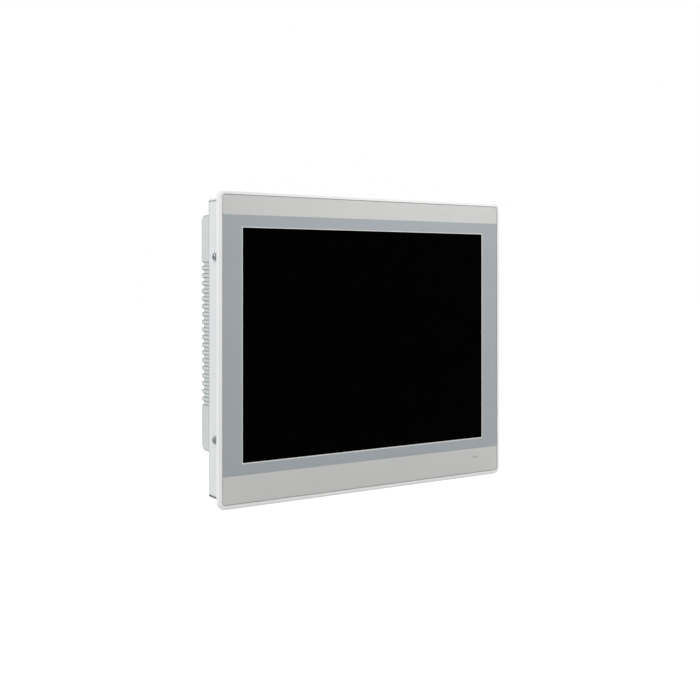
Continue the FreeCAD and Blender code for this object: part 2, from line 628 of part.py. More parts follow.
def main_board():
    """Board on standoffs, its processor with pads and spreader, memory, cell and power parts."""
    part = body("mainboard")
    pad(part, "XZ", "board_y", "board_thickness",
        rectangle("board_width", "board_top - board_bottom", 0, "(board_top + board_bottom) / 2", "3"))
    pocket(part, "XZ", "board_y", "board_thickness", *[circle("1.7", *spot) for spot in BOARD_HOLES])
    keep(part, "mainboard")
    stands, fixings = [], []
    for x, z in BOARD_HOLES:
        post = cylinder("standoff_post", 3, "board_y - chassis_depth", x, "chassis_depth", z)
        bore = cylinder("standoff_bore", 1.3, "board_y - chassis_depth", x, "chassis_depth + 0.5", z)
        stands.append(cut("standoff", post, [bore]))
        fixings.append(screw("board_screw", 1.25, 5.5, 2.8, 1.9, x, BOARD_BACK, z, "rear"))
    keep(group("board_standoffs", stands), "board_standoffs")
    keep(group("board_screws", fixings), "board_screws")
    x, z = CPU
    roof = "chassis_depth + cover_hollow"
    keep(fuse("cpu", [
        block_at("cpu_package", x, BOARD_BACK, z, 34, 1.2, 28),
        block_at("cpu_die", x, f"{BOARD_BACK} + 1.2", z, 14, 0.8, 12),
    ]), "cpu")
    keep(group("thermal_pads", [
        block_at("die_pad", x, f"{BOARD_BACK} + 2", z, 18, 0.5, 16),
        block_at("cover_pad", x, f"{roof} - 0.5", z, 60, 0.5, 50),
    ]), "thermal_pads")
    spreader = block_at("spreader_foot", x, f"{BOARD_BACK} + 2.5", z, 30, 3, 26)
    crown = block_at("spreader_crown", x, f"{BOARD_BACK} + 5.5", z,
                     60, f"{roof} - 0.5 - {BOARD_BACK} - 5.5", 50)
    keep(fuse("heat_spreader", [spreader, crown]), "heat_spreader")
    tower = block_at("socket_bar", -60, BOARD_BACK, 46, 73, 5.2, 6)
    arms = [block_at("socket_arm", -60 + s * 35, BOARD_BACK, 31, 3, 5.2, 25) for s in (-1, 1)]
    keep(fuse("memory_socket", [tower] + arms), "memory_socket")
    card = block_at("memory_card", -60, f"{BOARD_BACK} + 2", 28, 66, 1, 30)
    chips = [block_at("memory_chip", -60 + 15 * k, f"{BOARD_BACK} + 3", 28, 11, 1, 13)
             for k in (-1.5, -0.5, 0.5, 1.5)]
    keep(fuse("memory_module", [card] + chips), "memory_module")
    tray = cylinder("cell_tray", 12, 4, 100, BOARD_BACK, 60)
    well = cylinder("cell_well", 10.2, 4, 100, f"{BOARD_BACK} + 0.8", 60)
    keep(cut("cell_holder", tray, [well]), "cell_holder")
    keep(cylinder("coin_cell", 10, 3.2, 100, f"{BOARD_BACK} + 0.8", 60), "coin_cell")
    coils = [block_at("coil", 100, BOARD_BACK, -20 * k, 10, 5, 10) for k in range(3)]
    keep(group("power_inductors", coils), "power_inductors")
    cans = [cylinder("can", 4, 8, 82, BOARD_BACK, 10 - 14 * k) for k in range(5)]
    keep(group("capacitors", cans), "capacitors")


def inner_boards():
    """Backlight driver and touch controller, hung from the inside of the chassis wall."""
    wall = "chassis_depth - chassis_wall"
    posts = []
    for name, x, z, width, height in (
        ("backlight_driver_board", -70, 40, 120, 32), ("touch_controller_board", 80, 40, 64, 44),
    ):
        plate = block_at(f"{name}_plate", x, f"{wall} - 6.6", z, width, 1.6, height)
        chips = [block_at(f"{name}_chip", x + k * width / 4, f"{wall} - 8.6", z, 12, 2, 12)
                 for k in (-1, 0, 1)]
        keep(fuse(name, [plate] + chips), name)
        for s in (-1, 1):
            for u in (-1, 1):
                posts.append(cylinder("inner_post", 2.5, 5, x + s * (width / 2 - 5), f"{wall} - 5",
                                      z + u * (height / 2 - 5)))
    keep(group("inner_standoffs", posts), "inner_standoffs")


def ribbon(name, x, width, thickness, bend, route):
    """A flat cable: a path of straight runs and arcs in the YZ plane, thickened and given its width."""
    points = [vector(0, amount(y), amount(z)) for y, z in route]
    edges, start = [], points[0]
    for before, corner, after in zip(points, points[1:], points[2:]):
        back = (before - corner).normalize()
        ahead = (after - corner).normalize()
        half = back.getAngle(ahead) / 2
        enter, leave = corner + back * (bend / math.tan(half)), corner + ahead * (bend / math.tan(half))
        hub = corner + (back + ahead).normalize() * (bend / math.sin(half))
        edges.append(Part.LineSegment(start, enter).toShape())
        edges.append(Part.Arc(enter, hub + (corner - hub).normalize() * bend, leave).toShape())
        start = leave
    edges.append(Part.LineSegment(start, points[-1]).toShape())
    first = (points[1] - points[0]).normalize()
    across = vector(1, 0, 0).cross(first) * (thickness / 2)
    end = Part.LineSegment(points[0] - across, points[0] + across).toShape()
    strip = Part.Wire(edges).makePipeShell([Part.Wire([end])], False, False)
    cable = doc.addObject("Part::Feature", name)
    runs = strip.extrude(vector(width, 0, 0)).Solids
    cable.Shape = runs[0].multiFuse(runs[1:]).removeSplitter()
    cable.Placement = FreeCAD.Placement(vector(x - width / 2, 0, 0), FreeCAD.Rotation())
    return keep(cable, name)


# ---------------------------------------------------------------- port wall

JACKS = (-98, -76)
# half-widths and levels above the board of a jack's plug cavity and the two steps for the plug's latch
JACK_HOLLOWS = ((5.9, 3.7, 10.5), (3.1, 2.2, 4), (1.7, 1.4, 2.5))
USB_X = -50
SERIALS = (-18, 22)
POWER_X = -124


def port_wall():
    """Steel plate with one cut-out per connector, held by two screws through the cover's wall."""
    part = body("io_plate")
    pad(part, "XY", PORT_FACE, "port_plate",
        rectangle("298", "21", 0, PORT_ROW, "1.5"))
    centre = f"{BOARD_BACK} + jack_height / 2"
    holes = [rectangle("jack_width + 0.6", "jack_height + 0.6", x, centre) for x in JACKS]
    holes.append(rectangle("usb_width + 0.6", "usb_height + 0.6", USB_X, f"{BOARD_BACK} + usb_height / 2"))
    for x in SERIALS:
        holes.append(rectangle("18.6", "9.6", x, SERIAL_ROW, "2"))
        holes += [circle("3", f"{x} + {s} * 12.5", SERIAL_ROW) for s in (-1, 1)]
    holes.append(rectangle("16", "9.6", POWER_X, f"{BOARD_BACK} + 4.5"))
    holes.append(rectangle("12.8", "7.2", "slide_x", SWITCH_ROW))
    holes.append(circle("reset_radius + 0.6", "reset_x", SWITCH_ROW))
    holes += [circle("1.3", x, PORT_ROW) for x in ("-145", "145")]
    pocket(part, "XY", PORT_FACE, "port_plate", *holes)
    keep(part, "io_plate")
    pins = [screw("plate_screw", 1.2, 4.6, 2.8, 1.9, x, PORT_ROW, COVER_BOTTOM, "down")
            for x in (-145, 145)]
    keep(group("io_plate_screws", pins), "io_plate_screws")


def port_box(name, x, width, height, depth, wall, hollow):
    """A connector shell on the board: a block with its mouth at the port plate."""
    block = box(name, (f"{x} - ({width}) / 2", f"{x} + ({width}) / 2"),
                (BOARD_BACK, f"{BOARD_BACK} + {height}"), (PORT_FACE, f"{PORT_FACE} + {depth}"))
    mouth = box(f"{name}_mouth", (f"{x} - ({width}) / 2 + {wall}", f"{x} + ({width}) / 2 - {wall}"),
                (f"{BOARD_BACK} + {wall}", f"{BOARD_BACK} + {height} - {wall}"),
                (f"{PORT_FACE} - 1", f"{PORT_FACE} + {hollow}"))
    return cut(f"{name}_shell", block, [mouth])


def network_ports():
    shells, inserts = [], []
    for x in JACKS:
        shells.append(port_box("jack", x, "jack_width", "jack_height", "jack_depth", 0.8, 20))
        block = box("jack_block", (f"{x} - 7.2", f"{x} + 7.2"),
                    (f"{BOARD_BACK} + 0.9", f"{BOARD_BACK} + jack_height - 0.9"),
                    (f"{PORT_FACE} + 0.4", f"{PORT_FACE} + 19.8"))
        hollows = [
            box("jack_hollow", (f"{x} - {half}", f"{x} + {half}"),
                (f"{BOARD_BACK} + {low}", f"{BOARD_BACK} + {high}"),
                (f"{PORT_FACE} - 1", f"{PORT_FACE} + 13"))
            for half, low, high in JACK_HOLLOWS
        ]
        contacts = [
            box("jack_contact", (f"{x} + {1.02 * k} - 0.2", f"{x} + {1.02 * k} + 0.2"),
                (f"{BOARD_BACK} + 10.1", f"{BOARD_BACK} + 10.4"), (f"{PORT_FACE} + 2", f"{PORT_FACE} + 13.2"))
            for k in (-3.5, -2.5, -1.5, -0.5, 0.5, 1.5, 2.5, 3.5)
        ]
        inserts.append(fuse("jack_insert", [cut("jack_moulding", block, hollows)] + contacts))
    keep(group("ethernet_shells", shells), "ethernet_shells")
    keep(group("ethernet_inserts", inserts), "ethernet_inserts")


def usb_port():
    """Two stacked sockets in one shell, each with its tongue."""
    x = USB_X
    block = box("usb_block", (f"{x} - usb_width / 2", f"{x} + usb_width / 2"),
                (BOARD_BACK, f"{BOARD_BACK} + usb_height"), (PORT_FACE, f"{PORT_FACE} + usb_depth"))
    mouths, tongues = [], []
    for low in (1.0, 9.3):
        mouths.append(box("usb_mouth", (f"{x} - 6.3", f"{x} + 6.3"),
                          (f"{BOARD_BACK} + {low}", f"{BOARD_BACK} + {low} + 5.3"),
                          (f"{PORT_FACE} - 1", f"{PORT_FACE} + 12")))
        tongues.append(box("usb_tongue", (f"{x} - 5.4", f"{x} + 5.4"),
                           (f"{BOARD_BACK} + {low} + 2.9", f"{BOARD_BACK} + {low} + 4.7"),
                           (f"{PORT_FACE} + 1", f"{PORT_FACE} + 12")))
    keep(cut("usb_shell", block, mouths), "usb_shell")
    keep(group("usb_tongues", tongues), "usb_tongues")


def d_block(name, x, low, length, width, height, corner):
    """A D-shaped block about the serial row, narrower towards the board, with sides at 10 degrees."""
    lean = math.tan(math.radians(10))
    near, far = f"{SERIAL_ROW} - {height} / 2", f"{SERIAL_ROW} + {height} / 2"
    narrow = f"({width} / 2 - {height} * {lean})"
    part = body(name)
    pad(part, "XY", low, length, [
        (f"{x} - {narrow}", near), (f"{x} + {narrow}", near),
        (f"{x} + {width} / 2", far), (f"{x} - {width} / 2", far),
    ])
    dress("Fillet", part, corner, lambda edge: edge.BoundBox.ZLength > 1)
    return part


def serial_ports():
    """Two nine-way sockets: a moulded block with its holes, a pressed D shell and two jack nuts."""
    shells, blocks, nuts = [], [], []
    for x in SERIALS:
        flange = box("serial_flange", (f"{x} - serial_flange / 2", f"{x} + serial_flange / 2"),
                     (BOARD_BACK, f"{BOARD_BACK} + serial_height"),
                     (f"{PORT_FACE} + 1.2", f"{PORT_FACE} + 2"))
        wall = d_block("serial_wall", x, f"{PORT_FACE} - 3", 5, 17.2, 8.6, 2.4)
        mouth = d_block("serial_mouth", x, f"{PORT_FACE} - 4", 7, 16.4, 7.8, 2)
        bores = [cylinder("flange_bore", 1.7, 2, f"{x} + {s} * 12.5", SERIAL_ROW, f"{PORT_FACE} + 0.5", "up")
                 for s in (-1, 1)]
        shells.append(cut("serial_shell", fuse("serial_pressing", [flange, wall]), [mouth] + bores))
        core = d_block("serial_core", x, f"{PORT_FACE} - 2.6", 5.6, 15.6, 7, 1.8)
        heel = box("serial_heel", (f"{x} - 15", f"{x} + 15"), (BOARD_BACK, f"{BOARD_BACK} + serial_height"),
                   (f"{PORT_FACE} + 2", f"{PORT_FACE} + 13"))
        rows = [(k - 2, 1.42) for k in range(5)] + [(k - 1.5, -1.42) for k in range(4)]
        holes = [cylinder("serial_hole", 0.6, 4, f"{x} + {2.77 * k}", f"{SERIAL_ROW} + {side}",
                          f"{PORT_FACE} - 3", "up") for k, side in rows]
        bolts = [cylinder("serial_bore", 1.45, 6, f"{x} + {s} * 12.5", SERIAL_ROW, f"{PORT_FACE} + 2", "up")
                 for s in (-1, 1)]
        blocks.append(cut("serial_block", fuse("serial_blank", [core, heel]), holes + bolts))
        for s in (-1, 1):
            hexagon = doc.addObject("Part::Prism", "jack_hexagon")
            hexagon.Polygon = 6
            hexagon.Circumradius = 2.7
            hexagon.Height = 4.2
            move(hexagon, f"{x} + {s} * 12.5", SERIAL_ROW, f"{PORT_FACE} - 3")
            stem = cylinder("jack_stem", 1.4, 6, f"{x} + {s} * 12.5", SERIAL_ROW, f"{PORT_FACE} + 1", "up")
            bore = cylinder("jack_bore", 1.2, 3.4,
                            f"{x} + {s} * 12.5", SERIAL_ROW, f"{PORT_FACE} - 3.2", "up")
            nuts.append(cut("jack_nut", fuse("jack_blank", [hexagon, stem]), [bore]))
    keep(group("serial_shells", shells), "serial_shells")
    keep(group("serial_inserts", blocks), "serial_inserts")
    keep(group("serial_jack_nuts", nuts), "serial_jack_nuts")


def power_inlet():
    """Open header for a three-way plug, with its three pins."""
    x = POWER_X
    keep(port_box("power_block", x, 15, 9, 12, 0.9, 10), "power_header")
    pins = [box("power_pin", (f"{x} + {3.81 * k} - 0.5", f"{x} + {3.81 * k} + 0.5"),
                (f"{BOARD_BACK} + 4", f"{BOARD_BACK} + 5"), (f"{PORT_FACE} + 1", f"{PORT_FACE} + 10"))
            for k in (-1, 0, 1)]
    keep(group("power_pins", pins), "power_pins")


def setting_switches():
    """Four slide switches in one block, and a sprung reset button, all reached through the port plate."""
    width, post = "(4 * slide_pitch + 1.5)", 1.2
    block = box("slide_block", (f"slide_x - {width} / 2", f"slide_x + {width} / 2"),
                (BOARD_BACK, f"{BOARD_BACK} + 6.4"), (f"{PORT_FACE} + 0.2", f"{PORT_FACE} + 5.2"))
    tracks = []
    for k in range(4):
        x = f"slide_x + ({k} - 1.5) * slide_pitch"
        reach = f"(slide_travel / 2 + {post} / 2 + slide_gap)"
        tracks.append(box("slide_track", (f"{x} - {post} / 2 - slide_gap", f"{x} + {post} / 2 + slide_gap"),
                          (f"{SWITCH_ROW} - {reach}", f"{SWITCH_ROW} + {reach}"),
                          (PORT_FACE, f"{PORT_FACE} + 2.2")))
        low = f"{SWITCH_ROW} - slide_travel / 2"
        keep(box(f"dip_slider_{k + 1}", (f"{x} - {post} / 2", f"{x} + {post} / 2"),
                 (f"{low} - {post} / 2", f"{low} + {post} / 2"),
                 (f"{PORT_FACE} - 0.4", f"{PORT_FACE} + 2.2 - slide_gap")), f"dip_slider_{k + 1}")
    keep(cut("dip_switch_body", block, tracks), "dip_switch_body")
    case = box("reset_case", ("reset_x - 3", "reset_x + 3"), (f"{SWITCH_ROW} - 3", f"{SWITCH_ROW} + 3"),
               (f"{PORT_FACE} + 2", f"{PORT_FACE} + 6.5"))
    bore = cylinder("reset_bore", "reset_radius + slide_gap", 2,
                    "reset_x", SWITCH_ROW, f"{PORT_FACE} + 1.9", "up")
    keep(cut("reset_switch_body", case, [bore]), "reset_switch_body")
    keep(cylinder("reset_button", "reset_radius", "3.9 - slide_gap - reset_travel", "reset_x", SWITCH_ROW,
                  PORT_FACE, "up"), "reset_button")


# ---------------------------------------------------------------- assembly, checks and files

front_bezel()
front_overlay()
seals_and_glass()
display_module()
status_lights()
rear_chassis()
heat_sink_cover()
case_fixings()
main_board()
inner_boards()
port_wall()
network_ports()
usb_port()
serial_ports()
power_inlet()
setting_switches()
ribbon("lvds_ribbon", 20, 16, 0.6, 2.5, [
    (f"{MODULE_BACK} + 1.2", 94), (15, 94), (15, CABLE_SLOT_Z), (38, CABLE_SLOT_Z), (38, 89),
    (BOARD_BACK, 89),
])
ribbon("touch_ribbon", 100, 14, 0.4, 2, [
    (f"{GLASS_BACK} - 0.9", 126.6), (f"{GLASS_BACK} - 0.9", 132.4), (12, 132.4), (12, 70),
    (19.7, 70), (19.7, 56),
])
doc.recompute()


def check(thing):
    assert not {"Invalid", "Error"} & set(thing.State), f"{thing.Name} failed: {thing.State}"
    if thing.TypeId in ("PartDesign::Pocket", "PartDesign::Pad"):
        gained = thing.Shape.Volume - (thing.BaseFeature.Shape.Volume if thing.BaseFeature else 0)
        assert gained * (1 if thing.TypeId.endswith("Pad") else -1) > 0.01, f"{thing.Name} changed nothing"


for thing in doc.Objects:
    check(thing)
os.makedirs("parts", exist_ok=True)
for thing in pieces:
    shape = thing.Shape
    assert not shape.isNull() and shape.isValid() and shape.Solids, thing.Label
    shape.exportStep(f"parts/{thing.Label}.step")
    print(f"{thing.Label:26s} solids {len(shape.Solids):2d}  volume {shape.Volume:12.1f} mm3")
print(len(pieces), "sub-parts")
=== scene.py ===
# %% [markdown]
# # An operator touch panel, dressed for its render
#
# The panel is a cast front frame with a printed film and a black display, a sheet-steel box behind it,
# and a ribbed cast cover at the back. The CAD model already fixes every size and every moving part.
# This notebook gives it light, rounded edges, screws, contacts and finishes, one step at a time.

# %% Load the CAD model
import json
import math

import bmesh
import bpy
from mathutils import Matrix, Vector

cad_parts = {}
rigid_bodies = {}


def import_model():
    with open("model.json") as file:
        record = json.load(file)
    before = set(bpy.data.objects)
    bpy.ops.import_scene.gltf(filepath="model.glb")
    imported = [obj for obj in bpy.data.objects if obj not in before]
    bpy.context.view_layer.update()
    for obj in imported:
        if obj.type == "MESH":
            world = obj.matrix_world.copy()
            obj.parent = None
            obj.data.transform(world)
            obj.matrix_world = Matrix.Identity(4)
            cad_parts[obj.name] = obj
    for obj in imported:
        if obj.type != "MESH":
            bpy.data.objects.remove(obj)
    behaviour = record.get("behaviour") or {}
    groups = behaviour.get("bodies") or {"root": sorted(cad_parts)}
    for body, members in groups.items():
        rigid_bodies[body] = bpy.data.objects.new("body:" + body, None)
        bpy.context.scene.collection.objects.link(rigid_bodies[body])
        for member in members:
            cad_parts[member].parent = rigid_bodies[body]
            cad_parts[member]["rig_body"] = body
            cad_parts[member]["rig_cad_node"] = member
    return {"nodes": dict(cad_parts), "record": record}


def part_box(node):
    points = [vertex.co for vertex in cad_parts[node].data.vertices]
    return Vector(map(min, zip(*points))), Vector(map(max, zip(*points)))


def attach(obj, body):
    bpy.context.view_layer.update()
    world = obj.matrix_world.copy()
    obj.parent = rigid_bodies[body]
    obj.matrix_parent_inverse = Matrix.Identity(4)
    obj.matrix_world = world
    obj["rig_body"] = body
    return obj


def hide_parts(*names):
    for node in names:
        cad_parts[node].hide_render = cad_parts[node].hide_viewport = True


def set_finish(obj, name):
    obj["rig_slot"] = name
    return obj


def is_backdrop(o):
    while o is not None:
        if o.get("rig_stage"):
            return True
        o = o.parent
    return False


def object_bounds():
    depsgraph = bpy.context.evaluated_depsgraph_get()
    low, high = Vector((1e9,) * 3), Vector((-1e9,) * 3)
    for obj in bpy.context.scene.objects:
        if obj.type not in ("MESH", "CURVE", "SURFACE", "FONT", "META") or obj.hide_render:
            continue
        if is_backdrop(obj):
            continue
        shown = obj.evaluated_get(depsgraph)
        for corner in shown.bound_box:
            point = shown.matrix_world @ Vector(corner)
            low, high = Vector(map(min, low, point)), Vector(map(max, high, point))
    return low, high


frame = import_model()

MM = 0.001
SLOT_OF = {part["node"]: part["material_slot"] for part in frame["record"]["subparts"]}
cad_low, cad_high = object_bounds()
print("CAD nodes", len(frame["nodes"]), "size in mm", [round(side / MM, 1) for side in cad_high - cad_low])

# %% [markdown]
# ## Camera
#
# A camera that tilts makes upright edges lean. A panel is best seen like a building: the camera stays
# level and its lens shifts, so uprights stay upright while far edges still shrink with distance.

# %% Stand the camera to the left of the panel
CAMERA_PLACE = (-0.64847, -0.92650, 0.07028)
CAMERA_TURN = math.radians(-34)
LEVEL = math.radians(90)
SENSOR_WIDTH = 36
LENS = 55.15
LENS_SHIFT = -0.1047
camera = bpy.data.objects.new("camera", bpy.data.cameras.new("camera"))
bpy.context.collection.objects.link(camera)
camera.location = CAMERA_PLACE
camera.rotation_euler = (LEVEL, 0, CAMERA_TURN)
camera.data.sensor_width = SENSOR_WIDTH
camera.data.lens = LENS
camera.data.shift_y = LENS_SHIFT
bpy.context.scene.camera = camera
print("camera", [round(value, 3) for value in camera.location])

# %% [markdown]
# ## Colours and nodes
#
# Colours are chosen as hex codes, as on a paint chart, but light adds up in linear values. One function
# turns one into the other. A second small function adds any node, with its settings and its links.

# %% Two helpers for every material
def linear(code):
    """A linear colour from an sRGB hex code such as #C6C5C2."""
    shares = [int(code[place:place + 2], 16) / 255 for place in (1, 3, 5)]
    return [s / 12.92 if s <= 0.04045 else ((s + 0.055) / 1.055) ** 2.4 for s in shares] + [1.0]


def add(tree, kind, inputs=None, **settings):
    """Add one node; an input is a plain value or another node's output."""
    node = tree.nodes.new(f"ShaderNode{kind}")
    for name, value in settings.items():
        setattr(node, name, value)
    for socket, value in (inputs or {}).items():
        if isinstance(value, bpy.types.NodeSocket):
            tree.links.new(value, node.inputs[socket])
        else:
            node.inputs[socket].default_value = value
    return node


# %% [markdown]
# ## Studio
#
# Pale things are best shown in a white tent: soft light from everywhere, so that no edge
# is lost, and one or two lamps to give the box its shape. The world is the tent. Its backdrop has lamps
# of its own, so it looks white to the camera and yet gives the panel only part of that light.

# %% Pitch a white tent
TENT_LIGHT = 0.67
BACKDROP_LIGHT = 1.0
scene = bpy.context.scene
scene.view_settings.view_transform = "Standard"
scene.world = bpy.data.worlds.new("white_tent")
scene.world.use_nodes = True
tree = scene.world.node_tree
tree.nodes["Background"].inputs["Color"].default_value = linear("#FFFFFF")
seen = add(tree, "LightPath").outputs["Is Camera Ray"]
glow = add(tree, "MapRange", {"Value": seen, "To Min": TENT_LIGHT, "To Max": BACKDROP_LIGHT})
tree.links.new(glow.outputs["Result"], tree.nodes["Background"].inputs["Strength"])
print("tent light", TENT_LIGHT, "backdrop", BACKDROP_LIGHT)

# %% Lay a pale floor
FLOOR_SIZE = 12
FLOOR_GAP = 0.5 * MM
bpy.ops.object.select_all(action="DESELECT")
bpy.ops.mesh.primitive_plane_add(size=FLOOR_SIZE, location=(0, 0, cad_low.z - FLOOR_GAP))
floor = bpy.context.object
floor.name = "floor"
floor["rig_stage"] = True
print("floor level in mm", round(floor.location.z / MM, 1))

# %% [markdown]
# The floor is a white acrylic sheet lit from below, as on a light table, so shadows on it stay faint. Its
# glow, like the backdrop's, is kept off the panel. From underneath it is clear, so that the sockets and
# switches on the panel's lower side can be looked at.

# %% Make the floor a light table
FLOOR_GLOW = 0.5
floor_paint = bpy.data.materials.new("lit_white_acrylic")
floor_paint.use_nodes = True
tree = floor_paint.node_tree
shader = tree.nodes["Principled BSDF"]
place = add(tree, "TexCoord").outputs["Object"]
mottle = add(tree, "TexNoise", {"Scale": 3.0, "Detail": 2.0, "Vector": place})
tint = add(tree, "Mix", {0: mottle.outputs[0], 6: linear("#F6F6F6"), 7: linear("#FBFBFB")}, data_type="RGBA")
tree.links.new(tint.outputs[2], shader.inputs["Base Color"])
shader.inputs["Roughness"].default_value = 0.9
shader.inputs["Specular IOR Level"].default_value = 0.1
shader.inputs["Emission Color"].default_value = linear("#FFFFFF")
seen = add(tree, "LightPath").outputs["Is Camera Ray"]
glow = add(tree, "MapRange", {"Value": seen, "To Min": 0.0, "To Max": FLOOR_GLOW}).outputs["Result"]
tree.links.new(glow, shader.inputs["Emission Strength"])
underside = add(tree, "NewGeometry").outputs["Backfacing"]
clear = add(tree, "BsdfTransparent").outputs[0]
sheet = add(tree, "MixShader", {0: underside, 1: shader.outputs[0], 2: clear})
tree.links.new(sheet.outputs[0], tree.nodes["Material Output"].inputs["Surface"])
floor.data.materials.append(floor_paint)
print("floor glow", FLOOR_GLOW)

# %% [markdown]
# The lamps have a honeycomb grid in front, which narrows their beam. The side and the front lamp are
# aimed above the panel, so their light fades down the side wall and down the front. The rear lamp is
# broader and lights the cover.

# %% Hang the lamps
LAMPS = (
    # name, place and aim in metres, side in metres, power in watts, spread in degrees
    ("side_lamp", (-0.9, 0.12, 0.6), (-0.17, 0.03, 0.2), 0.5, 1.1, 90),
    ("front_lamp", (0.2, -0.8, 0.8), (0.1, 0, 0.28), 0.4, 0.95, 64),
    ("rear_lamp", (0.7, 1.3, 1.1), (0, 0.05, 0.1), 0.8, 5, 120),
)


def hang_lamp(name, place, aim, size, power, spread):
    """A soft square lamp aimed at a point, its beam narrowed to a spread in degrees."""
    lamp = bpy.data.objects.new(name, bpy.data.lights.new(name, "AREA"))
    bpy.context.collection.objects.link(lamp)
    lamp.data.size = size
    lamp.data.energy = power
    lamp.data.spread = math.radians(spread)
    lamp.location = place
    lamp.rotation_euler = (Vector(aim) - Vector(place)).to_track_quat("-Z", "Y").to_euler()
    print(name, "power", power)


for lamp_row in LAMPS:
    hang_lamp(*lamp_row)

# %% [markdown]
# ## Working by hand, in code
#
# The operators act on whatever is selected, and the CAD nodes arrive selected. So each step first
# selects one piece alone, and then picks faces or edges by where they are or which way they face.

# %% Selection helpers
def only(*chosen):
    """Select these pieces and nothing else; the last one is active."""
    bpy.ops.object.select_all(action="DESELECT")
    for piece in chosen:
        piece.select_set(True)
    bpy.context.view_layer.objects.active = chosen[-1]


def edit(piece):
    only(piece)
    bpy.ops.object.mode_set(mode="EDIT")


def pick(piece, kind, test):
    """In edit mode, select only the faces, edges or corners that pass a test; returns how many."""
    bpy.ops.mesh.select_mode(type=kind)
    bpy.ops.mesh.select_all(action="DESELECT")
    mesh = bmesh.from_edit_mesh(piece.data)
    mesh.normal_update()
    parts = {"FACE": mesh.faces, "EDGE": mesh.edges, "VERT": mesh.verts}[kind]
    chosen = [part for part in parts if test(part)]
    for part in chosen:
        part.select_set(True)
    mesh.select_flush_mode()
    bmesh.update_edit_mesh(piece.data)
    return len(chosen)


def is_sharp(edge, least=30):
    return len(edge.link_faces) == 2 and edge.calc_face_angle() > math.radians(least)


def done(piece, angle=35):
    """Leave edit mode and shade the piece smooth except over its sharp edges, its flats kept flat."""
    if bpy.context.mode != "OBJECT":
        bpy.ops.object.mode_set(mode="OBJECT")
    only(piece)
    bpy.ops.object.shade_smooth_by_angle(angle=math.radians(angle))
    flats = piece.modifiers.new("flats", "WEIGHTED_NORMAL")
    flats.keep_sharp = True
    bpy.ops.object.modifier_apply(modifier="flats")
    return piece


def settle(piece, body, slot, *nodes):
    """Put the piece's place into its mesh, and tell the frame what it rides on and stands for."""
    only(piece)
    bpy.ops.object.transform_apply(location=True, rotation=True, scale=True)
    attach(piece, body)
    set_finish(piece, slot)
    if nodes:
        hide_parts(*nodes)
    print(f"{piece.name}: {len(piece.data.polygons)} faces")
    return piece


# %% [markdown]
# ## Rounded edges
#
# Nothing cast, folded, moulded or pressed has a perfectly sharp edge, and a rounded one catches a fine
# line of light. The CAD mesh is loose triangles, so a copy is merged, its flat faces are joined up
# again, and its sharp edges are bevelled: by 0.3 to 0.5 mm on a casting or a fold, and by 0.1 to
# 0.2 mm on a stamping or a small moulding. The new faces stay selected after the bevel, with some
# flat ones that they enclose. Those that face no axis squarely are written down as an attribute named
# edge, where a finish paints a darker grey: painted shade along edges and seams. On a wide wall this
# painted shade reaches a little way in from the edge, so an inset adds a narrow ring for it.

# %% Copy a CAD node and round its edges
MERGE_WITHIN = 0.004 * MM
FLAT_WITHIN = math.radians(0.6)
SQUARE = 0.99


def rounded(node, width, chosen=lambda edge: True, segments=2, rim=None, rim_width=1.0):
    """A merged copy of a CAD node, its chosen sharp edges rounded by a width in millimetres.

    Faces that pass the rim test get a narrow ring just inside their outline, marked for painted shade.
    """
    piece = bpy.data.objects.new(f"{node}_rounded", frame["nodes"][node].data.copy())
    bpy.context.collection.objects.link(piece)
    only(piece)
    if piece.data.has_custom_normals:
        bpy.ops.mesh.customdata_custom_splitnormals_clear()
    edit(piece)
    bpy.ops.mesh.select_all(action="SELECT")
    bpy.ops.mesh.remove_doubles(threshold=MERGE_WITHIN)
    bpy.ops.mesh.dissolve_limited(angle_limit=FLAT_WITHIN)
    bmesh.from_edit_mesh(piece.data).faces.layers.float.new("edge")
    if rim:
        pick(piece, "FACE", rim)
        bpy.ops.mesh.inset(thickness=rim_width * MM)
        mesh = bmesh.from_edit_mesh(piece.data)
        edge_shade_layer = mesh.faces.layers.float["edge"]
        # Painted shade: the ring faces are marked to be drawn darker.
        for ring_face in mesh.faces:
            ring_face[edge_shade_layer] = float(rim(ring_face) and not ring_face.select)
    pick(piece, "EDGE", lambda edge: is_sharp(edge) and chosen(edge))
    bpy.ops.mesh.bevel(offset=width * MM, segments=segments, profile=0.5, clamp_overlap=False)
    mesh = bmesh.from_edit_mesh(piece.data)
    edge_shade_layer = mesh.faces.layers.float["edge"]
    # Painted shade: the bevel faces are marked to be drawn darker along the edge.
    for face in mesh.faces:
        if face.select and max(abs(way) for way in face.normal) < SQUARE:
            face[edge_shade_layer] = 1.0
    done(piece)
    body = frame["nodes"][node]["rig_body"]
    return settle(piece, body, SLOT_OF[node], node)


def near(edge, axis, *levels):
    """Whether both ends of an edge lie at one of these levels, in millimetres, along an axis."""
    ends = [corner.co["xyz".index(axis)] / MM for corner in edge.verts]
    return any(all(abs(end - level) < 0.05 for end in ends) for level in levels)


# %% [markdown]
# ### Front frame and film
#
# The frame is die-cast aluminium, painted. Its rim stands 0.4 mm above the film and frames it with a
# bright line. The film is cut from sheet, so its edge is only broken, not rounded.

# %% Round the frame and the film
bezel_low, bezel_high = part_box("front_bezel")
front = bezel_low.y / MM
FILM_RECESS = 0.4


def lies_outside(edge, corner, inset):
    """Whether both ends of an edge lie within an inset in metres of the outline through this corner."""
    return all(abs(end.co.x) > corner.x - inset or abs(end.co.z) > corner.z - inset for end in edge.verts)


def is_rim_edge(edge):
    """The frame's outermost edges, front and rear."""
    return lies_outside(edge, bezel_high, 2 * MM) and near(edge, "y", front, 0)


rounded("front_bezel", 0.45, is_rim_edge)
rounded("front_overlay", 0.08, lambda edge: near(edge, "y", front + FILM_RECESS))
rounded("touch_glass", 0.2)

